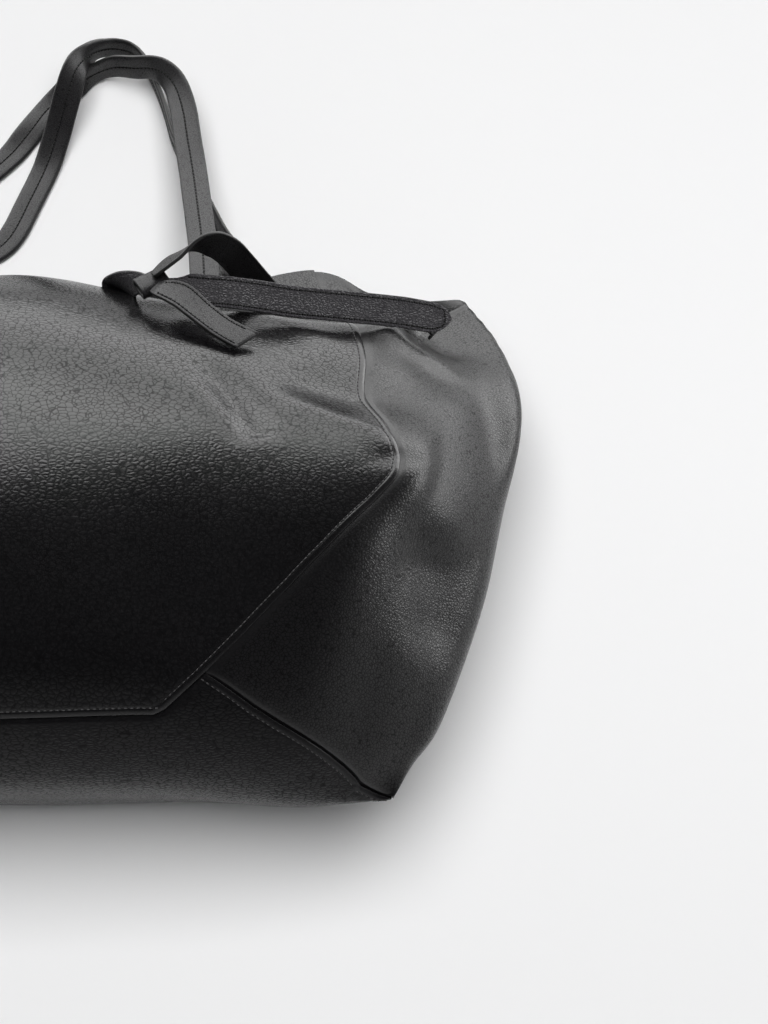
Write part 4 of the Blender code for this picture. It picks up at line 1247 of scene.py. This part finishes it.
def add_lamps():
    """The window wall, its side window, and the soft box over the bag."""
    for i, (left, right, bottom, top, radiance) in enumerate(WINDOW_PANES):
        middle = (left + right) / 2
        height = (bottom + top) / 2
        place = (middle, WINDOW_DISTANCE, height)
        add_lamp(f"window_pane_{i}", place, (middle, 0, height), right - left, top - bottom, radiance, True)
    far, near, back, top, radiance = SIDE_WINDOW
    middle = (near + back) / 2
    add_lamp("side_window", (far, middle, top / 2), (0, middle, top / 2), back - near, top, radiance, True)
    x, y, _ = OVERHEAD_PLACE
    add_lamp("overhead_softbox", OVERHEAD_PLACE, (x, y, 0), OVERHEAD_SIZE, OVERHEAD_SIZE, OVERHEAD_RADIANCE,
             False)


class TOTE_OT_stage(BuildOperator, bpy.types.Operator):
    """Sets the camera, the soft boxes and the table."""
    bl_idname = "tote.stage"
    bl_label = "Stage"

    def execute(self, context):
        scene = context.scene
        scene.view_settings.view_transform = "Standard"
        lens = bpy.data.cameras.new("photo_camera")
        lens.lens = LENS
        lens.sensor_width = SENSOR
        lens.clip_start = CLIP_START
        camera = bpy.data.objects.new("photo_camera", lens)
        camera.location = CAMERA_PLACE
        camera.rotation_euler = (CAMERA_TILT, 0, 0)
        scene.collection.objects.link(camera)
        scene.camera = camera
        add_lamps()
        world = bpy.data.worlds.new("studio")
        world.use_nodes = True
        sheet = NodeSheet(world.node_tree)
        direction = sheet.wire(sheet.node("ShaderNodeTexCoord"), "Generated")
        upward = sheet.wire(sheet.node("ShaderNodeSeparateXYZ", {}, Vector=direction), "Z")
        mirrored = sheet.wire(sheet.node("ShaderNodeLightPath"), "Is Glossy Ray")
        horizon = mirrored * (HORIZON_MIRRORED - HORIZON_STRENGTH) + HORIZON_STRENGTH
        glow = (1 - sheet.rise(upward, 0.0, HORIZON_TOP)) * horizon + SKY_STRENGTH
        sky = sheet.node("ShaderNodeBackground", {}, Color=(1, 1, 1, 1), Strength=glow)
        output = sheet.node("ShaderNodeOutputWorld")
        sheet.plug(output.inputs["Surface"], sheet.wire(sky))
        scene.world = world
        mesh = bpy.data.meshes.new("table")
        corners = [(x * TABLE_HALF, y * TABLE_HALF, 0) for x, y in ((-1, -1), (1, -1), (1, 1), (-1, 1))]
        mesh.from_pydata(corners, [], [(0, 1, 2, 3)])
        table = bpy.data.objects.new("table", mesh)
        scene.collection.objects.link(table)
        material, sheet = new_material("table_paper")
        place = sheet.wire(sheet.node("ShaderNodeTexCoord"), "Object")
        away = sheet.wire(sheet.node("ShaderNodeSeparateXYZ", {}, Vector=place), "Y")
        paper = tuple(context.scene.tote_colours.table)
        # Painted shade darkens the table's colour towards the camera
        shade = sheet.blend_colours(sheet.rise(away, *TABLE_FADE), tinted(paper, TABLE_NEAR_PAINTED_SHADE), paper)
        shader = sheet.node("ShaderNodeBsdfDiffuse", {}, Color=shade)
        output = sheet.node("ShaderNodeOutputMaterial")
        sheet.plug(output.inputs["Surface"], sheet.wire(shader))
        mesh.materials.append(material)
        return {"FINISHED"}


def finish_root(piece, slot, *nodes):
    """A piece that stays with the body and stands for CAD nodes, which are hidden."""
    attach(piece, "root")
    if nodes:
        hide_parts(*nodes)


def root_sheet(name, node, slot, skin, grid, seams, finish, depth=0.0, thickness=None):
    """A sheet that stays with the body and stands for one CAD node."""
    piece = leather_sheet(name, skin, *grid, seams, finish_named(finish), depth, thickness)
    finish_root(piece, slot, node)
    return piece


def facing_way(grid, way):
    """The same rail and station numbers on the front or on the back."""
    rails, stations = grid
    return rails, way * stations


def panel_seams(skin, way, top):
    """Seams round a panel: its two sides, its bottom and the mouth."""
    stations = np.linspace(PANEL_BOTTOM_STATION, top, PANEL_SIDE_POINTS)
    sides = [Seam(skin, side * panel_edge(stations), way * stations, TURNED_EDGE) for side in (1, -1)]
    rails = np.linspace(-PANEL_EDGE_RAILS[0], PANEL_EDGE_RAILS[0], PANEL_BOTTOM_POINTS)
    bottom = Seam(skin, rails, np.full(PANEL_BOTTOM_POINTS, way * PANEL_BOTTOM_STATION), TURNED_EDGE)
    rails = np.linspace(-panel_edge(top), panel_edge(top), MOUTH_POINTS)
    mouth = Seam(skin, rails, np.full(MOUTH_POINTS, way * top), TURNED_EDGE)
    return sides + [bottom, mouth]


def gusset_seams(skin):
    """Seams round the right gusset: both panels, both edges of the base, and the mouth."""
    stations = np.linspace(JUNCTION_STATION, MOUTH_STATION, GUSSET_SIDE_POINTS)
    low = np.linspace(TIP_STATION, JUNCTION_STATION, GUSSET_BASE_POINTS)
    base_rails = np.interp(low, BASE_SEAM_STATIONS, BASE_SEAM_RAILS)
    seams = []
    for way in (1, -1):
        seams.append(Seam(skin, panel_edge(stations), way * stations, SOFT_EDGE))
        seams.append(Seam(skin, base_rails, way * low, TUCKED_EDGE))
        rails = np.linspace(panel_edge(MOUTH_STATION), WING_RAIL, MOUTH_POINTS)
        seams.append(Seam(skin, rails, np.full(MOUTH_POINTS, way * MOUTH_STATION), TURNED_EDGE))
    return seams


def base_seams(skin):
    """Seams round the base: both panels, and the four edges beside the gussets."""
    seams = []
    for way in (1, -1):
        for side in (1, -1):
            fine = np.linspace(0, panel_edge(JUNCTION_STATION), BASE_SEAM_POINTS)
            stations = np.interp(fine, BASE_TOP_RAILS[:4], BASE_TOP_STATIONS[:4])
            seams.append(Seam(skin, side * fine, way * stations, TUCKED_EDGE))
            low = np.linspace(TIP_STATION, JUNCTION_STATION, BASE_SEAM_POINTS)
            seam_rails = np.interp(low, BASE_SEAM_STATIONS, BASE_SEAM_RAILS)
            seams.append(Seam(skin, side * seam_rails, way * low, RIDGE_EDGE))
    return seams


def mirrored_piece(name, source):
    """The same piece on the left half."""
    count = len(source.data.vertices)
    points = np.zeros(count * 3)
    source.data.vertices.foreach_get("co", points)
    points = points.reshape(-1, 3) * [-1, 1, 1]
    faces = [tuple(face.vertices)[::-1] for face in source.data.polygons]
    grain = np.zeros(count)
    source.data.attributes["grain"].data.foreach_get("value", grain)
    return finish_piece(name, points, faces, list(source.data.materials), grain=grain)


class TOTE_OT_body(BuildOperator, bpy.types.Operator):
    """Builds the leather panels, gussets and base."""
    bl_idname = "tote.body"
    bl_label = "Leather body"

    def execute(self, context):
        skin = Skin(context.scene.tote_sizes)
        step = context.scene.tote_sizes.mesh_step
        for word, way, steps in (("front", 1, 1), ("back", -1, BACK_STEPS)):
            grid = facing_way(panel_grid(skin, PANEL_BOTTOM_STATION, MOUTH_STATION, step * steps), way)
            root_sheet(word + "_panel_leather", word + "_panel", "leather", skin, grid,
                       panel_seams(skin, way, MOUTH_STATION), "panel_grain")
        grid = base_grid(skin, TIP_STATION, step)
        root_sheet("base_leather", "base", "leather", skin, grid, base_seams(skin), "base_grain")
        grid = gusset_grid(skin, TIP_STATION, MOUTH_STATION, step)
        right = root_sheet("right_gusset_leather", "right_gusset", "leather", skin, grid, gusset_seams(skin),
                           "gusset_grain")
        finish_root(mirrored_piece("left_gusset_leather", right), "leather", "left_gusset")
        return {"FINISHED"}


class TOTE_OT_linings(BuildOperator, bpy.types.Operator):
    """Builds the suede linings, the leather facings of the mouth and the pocket."""
    bl_idname = "tote.linings"
    bl_label = "Linings and pocket"

    def execute(self, context):
        sizes = context.scene.tote_sizes
        skin = Skin(sizes)
        coarse = sizes.mesh_step * LINING_STEPS
        inside = sizes.leather_thickness + LAYER_GAP
        thick = sizes.lining_thickness
        for word, way in (("front", 1), ("back", -1)):
            grid = facing_way(panel_grid(skin, PANEL_BOTTOM_STATION, FACING_STATION, coarse), way)
            root_sheet(word + "_panel_suede", word + "_panel_lining", "lining", skin, grid, [], "suede",
                       inside, thick)
            grid = facing_way(panel_grid(skin, FACING_STATION, MOUTH_STATION, coarse), way)
            root_sheet(word + "_mouth_facing", word + "_facing", "leather", skin, grid, [], "gusset_grain",
                       inside, thick)
        grid = base_grid(skin, LINING_TIP_STATION, coarse)
        root_sheet("base_suede", "base_lining", "lining", skin, grid, [], "suede", inside, thick)
        grid = gusset_grid(skin, LINING_TIP_STATION, FACING_STATION, coarse)
        right = root_sheet("right_gusset_suede", "right_gusset_lining", "lining", skin, grid, [], "suede",
                           inside, thick)
        finish_root(mirrored_piece("left_gusset_suede", right), "lining", "left_gusset_lining")
        grid = facing_way(panel_grid(skin, *POCKET_STATIONS, coarse, edge_rails=POCKET_RAIL), -1)
        sewn = inside + thick + LAYER_GAP
        root_sheet("suede_pocket", "inner_pocket", "lining", skin, grid, [], "suede", sewn, thick)
        return {"FINISHED"}


def strap_finishes(face):
    """Face leather and painted edge of a strap."""
    return [finish_named(face), finish_named("painted_edge")]


class TOTE_OT_handles(BuildOperator, bpy.types.Operator):
    """Builds the two shoulder handles and their sewn ends."""
    bl_idname = "tote.handles"
    bl_label = "Shoulder handles"

    def execute(self, context):
        sizes = context.scene.tote_sizes
        skin = Skin(sizes)
        width, thick = sizes.strap_width, sizes.strap_thickness
        for word, way, route, end in (("front", 1, FRONT_HANDLE_ROUTE_SHARES, FRONT_END_RAILS),
                                      ("back", -1, BACK_HANDLE_ROUTE_SHARES, BACK_END_RAILS)):
            line, toward = handle_line(skin, end, way, route)
            shares = np.ones(len(line))
            handle = strap_shell(word + "_handle_strap", line, toward, shares, width, thick, HANDLE_SECTION,
                                 strap_finishes("strap_face"))
            rows = [strap_row(line, toward, shares, 0, 1, face * STITCH_HEIGHT_SHARE, width, thick)
                    for face in (1, -1)]
            stitches = sew(word + "_handle_stitches", rows, "strap_thread", STRAP_THREAD_WEIGHT)
            for piece in (handle, stitches):
                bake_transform(piece)
            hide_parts(word + "_handle")
            sewn = sizes.leather_thickness + sizes.lining_thickness + 2 * LAYER_GAP
            for label, side in (("right", 1), ("left", -1)):
                stations = np.linspace(SEWN_STATION, MOUTH_STATION, SEWN_ROWS)
                rails = np.linspace(*end, SEWN_COLUMNS)
                grid = (np.repeat(rails[None], SEWN_ROWS, 0) * side,
                        np.repeat(stations[:, None], SEWN_COLUMNS, 1) * way)
                names = label + "_" + word + "_sewn_end", label + "_" + word + "_handle_end"
                root_sheet(*names, "strap", skin, grid, [], "strap_face", sewn, thick)
        return {"FINISHED"}


def tie_shell(name, skin, line, toward, shares, face, **shape):
    """A strap as wide and as thick as a tie."""
    return strap_shell(name, line, toward, shares, skin.sizes.strap_width, skin.sizes.tie_thickness,
                       TIE_SECTION, strap_finishes(face), **shape)


def tie_stitches(name, sizes, line, toward, shares, first, last, tip):
    """Two rows near the edges on each face of a tie, and round its tip where it has one."""
    rows = []
    for face in (1, -1):
        pair = [strap_row(line, toward, shares, STITCH_FROM_EDGE, side, face * STITCH_HEIGHT_SHARE,
                          sizes.strap_width, sizes.tie_thickness)[first:last] for side in (1, -1)]
        if tip:
            rows.append(np.concatenate([pair[0], pair[1][::-1]]))
        else:
            rows += pair
    return sew(name, rows, "strap_thread", STRAP_THREAD_WEIGHT)


def build_long_tie(skin, word, side, rows, first):
    """The front tie and its long free end."""
    line, toward, shares = tie_line(rows, side)
    run = distance_along(line)
    shares = np.minimum(shares, rounded_share(run[-1] - run, TIE_TIP_REACH, TIE_TIP_POWER))
    widths = np.maximum(shares, LEAST_WIDTH_SHARE)
    # Its lighter leather is partly painted sheen
    strap = tie_shell(word + "_long_tie", skin, line, toward, widths, "strap_grain")
    stitches = tie_stitches(word + "_long_tie_stitches", skin.sizes, line, toward, shares, first,
                            -TIP_CLEAR_POINTS, True)
    start = skin.place(TIE_END_ROUTE_SHARES[0][0]) * [side, 1, 1]
    for piece in (strap, stitches):
        start + [side * TIE_BLEND_RUN, 0, 0]
        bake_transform(piece)
    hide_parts(word + "_front_tie", word + "_tie_end")


def build_short_tie(skin, word, side, rows):
    """The short free end below the knot, cut at a slant."""
    line, toward, shares = tie_line(rows, side)
    tail = tie_shell(word + "_short_tie", skin, line, toward, shares, "strap_face", slant=TAIL_SLANT * side)
    stitches = tie_stitches(word + "_short_tie_stitches", skin.sizes, line, toward, shares, STRAP_STEPS,
                            -TAIL_CLEAR_POINTS, False)
    start = line[0]
    end = start + unit(line[STRAP_STEPS * 2] - start) * TAIL_BLEND_RUN
    for piece in (tail, stitches):
        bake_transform(piece)
    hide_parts(word + "_tie_tail")


def build_knot(skin, word, side):
    """The band that the back tie makes round the front tie, tilted across it."""
    centre, _, inner = knot_frame(skin)
    turn = np.linspace(0, 2 * np.pi, KNOT_TURN_STEPS, endpoint=False)
    middle = inner + skin.sizes.tie_thickness / 2
    rise = np.sign(np.cos(turn)) * abs(np.cos(turn)) ** KNOT_ROUNDNESS * middle[1]
    out = np.sign(np.sin(turn)) * abs(np.sin(turn)) ** KNOT_ROUNDNESS * middle[2]
    across, away, up = np.array(WRAP_DIRECTIONS)
    axis = across * math.cos(KNOT_TILT) + away * math.sin(KNOT_TILT)
    upward = away * math.cos(KNOT_TILT) - across * math.sin(KNOT_TILT)
    ring = (centre + upward * rise[:, None] + up * out[:, None]) * [side, 1, 1]
    toward = np.tile(axis * [side, 1, 1], (len(ring), 1))
    widths = np.full(len(ring), KNOT_WIDTH_SHARE)
    knot = tie_shell(word + "_tie_wrap", skin, ring, toward, widths, "strap_face", closed=True)
    finish_root(knot, "strap", word + "_tie_knot")


class TOTE_OT_ties(BuildOperator, bpy.types.Operator):
    """Builds the tie straps, their knots and free ends, and the gusset tabs."""
    bl_idname = "tote.ties"
    bl_label = "Ties and tabs"

    def execute(self, context):
        sizes = context.scene.tote_sizes
        skin = Skin(sizes)
        depth = sizes.leather_thickness + sizes.lining_thickness + 3 * LAYER_GAP + sizes.tie_thickness / 2
        front_root = [(*root_row(skin, FRONT_TIE_RAIL, station, depth), 1) for station in FRONT_TIE_STATIONS]
        back_root = [(*root_row(skin, BACK_TIE_RAIL, -station, depth + 2 * LAYER_GAP), 1)
                     for station in BACK_TIE_STATIONS]
        long_rows = front_root + tie_rows(skin, FRONT_TIE_ROUTE_SHARES) + tie_rows(skin, TIE_END_ROUTE_SHARES)
        arch_end = (knot_place(skin, ARCH_END_SHARES), ARCH_END_TOWARD, PINCHED_WIDTH_SHARE)
        arch_rows = back_root + tie_rows(skin, BACK_TIE_ROUTE_SHARES) + [arch_end]
        tail_root = (knot_place(skin, TAIL_ROOT_SHARES), TAIL_ROOT_TOWARD, PINCHED_WIDTH_SHARE)
        tail_rows = [tail_root] + tie_rows(skin, TIE_TAIL_ROUTE_SHARES)
        tab_rows = [(skin.place(shares), toward, 1) for shares, toward in GUSSET_TAB_ROUTE_SHARES]
        past_knot = STRAP_STEPS * (len(front_root) + ROWS_BEFORE_STITCHES)
        for word, side in (("right", 1), ("left", -1)):
            build_long_tie(skin, word, side, long_rows, past_knot)
            arch = tie_shell(word + "_arch_tie", skin, *tie_line(arch_rows, side), "strap_face")
            finish_root(arch, "strap", word + "_back_tie")
            build_short_tie(skin, word, side, tail_rows)
            build_knot(skin, word, side)
            tab = strap_shell(word + "_folded_tab", *tie_line(tab_rows, side), sizes.tab_width,
                              sizes.tab_thickness, TAB_SECTION, strap_finishes("strap_face"))
            finish_root(tab, "strap", word + "_gusset_tab")
        return {"FINISHED"}


def surface_row(skin, rails, stations, seams):
    """Places on the leather's outer face."""
    smooth, normals, height, border, _ = raised(skin, rails, stations, seams)
    return smooth + normals * (height + border - STITCH_SINK)[..., None]


class TOTE_OT_stitches(BuildOperator, bpy.types.Operator):
    """Sews the sides and bottoms of the panels, and the edges of the base."""
    bl_idname = "tote.stitches"
    bl_label = "Body stitches"

    def execute(self, context):
        skin = Skin(context.scene.tote_sizes)
        for word, way in (("front", 1), ("back", -1)):
            seams = panel_seams(skin, way, MOUTH_STATION)
            rows = []
            inside = (0, way * PANEL_MIDDLE_STATION)
            stations = np.linspace(*SIDE_STITCH_STATIONS, SIDE_STITCH_POINTS)
            for side in (1, -1):
                line = beside(skin, side * panel_edge(stations), way * stations, STITCH_INSET, inside)
                rows.append(surface_row(skin, *line, seams))
            rails = np.linspace(-PANEL_EDGE_RAILS[0], PANEL_EDGE_RAILS[0], MOUTH_POINTS)
            stations = np.full(MOUTH_POINTS, way * PANEL_BOTTOM_STATION)
            rows.append(surface_row(skin, *beside(skin, rails, stations, STITCH_INSET, inside), seams))
            finish_root(sew(word + "_panel_stitches", rows), "leather")
        seams = base_seams(skin)
        rows = []
        low = np.linspace(BASE_STITCH_STATION, JUNCTION_STATION, BASE_STITCH_POINTS)
        for side in (1, -1):
            for way in (1, -1):
                seam_rails = side * np.interp(low, BASE_SEAM_STATIONS, BASE_SEAM_RAILS)
                line = beside(skin, seam_rails, way * low, STITCH_INSET, (0, way * BASE_MIDDLE_STATION))
                rows.append(surface_row(skin, *line, seams))
        finish_root(sew("base_stitches", rows), "leather")
        return {"FINISHED"}


class TOTE_PT_panel(bpy.types.Panel):
    """Sizes, colours and steps of the bag."""
    bl_label = "Tote bag"
    bl_idname = "TOTE_PT_panel"
    bl_space_type = "VIEW_3D"
    bl_region_type = "UI"
    bl_category = "Tote bag"

    def draw(self, context):
        layout = self.layout
        for group in (context.scene.tote_sizes, context.scene.tote_colours):
            box = layout.box()
            for name in group.__annotations__:
                box.prop(group, name)
        for step in BUILD_STEPS:
            layout.operator(step.bl_idname)


BUILD_STEPS = (TOTE_OT_stage, TOTE_OT_body, TOTE_OT_linings, TOTE_OT_handles, TOTE_OT_ties, TOTE_OT_stitches)
CLASSES = (ToteSizes, ToteColours, *BUILD_STEPS, TOTE_PT_panel)


def register():
    """Adds the classes and the two groups of settings."""
    for item in CLASSES:
        bpy.utils.register_class(item)
    bpy.types.Scene.tote_sizes = bpy.props.PointerProperty(type=ToteSizes)
    bpy.types.Scene.tote_colours = bpy.props.PointerProperty(type=ToteColours)


def unregister():
    """Takes them away again."""
    del bpy.types.Scene.tote_sizes
    del bpy.types.Scene.tote_colours
    for item in reversed(CLASSES):
        bpy.utils.unregister_class(item)


def main():
    """Builds the bag step by step."""
    register()
    bpy.ops.tote.stage()
    bpy.ops.tote.body()
    bpy.ops.tote.linings()
    bpy.ops.tote.handles()
    bpy.ops.tote.ties()
    bpy.ops.tote.stitches()


if __name__ == "__main__":
    main()
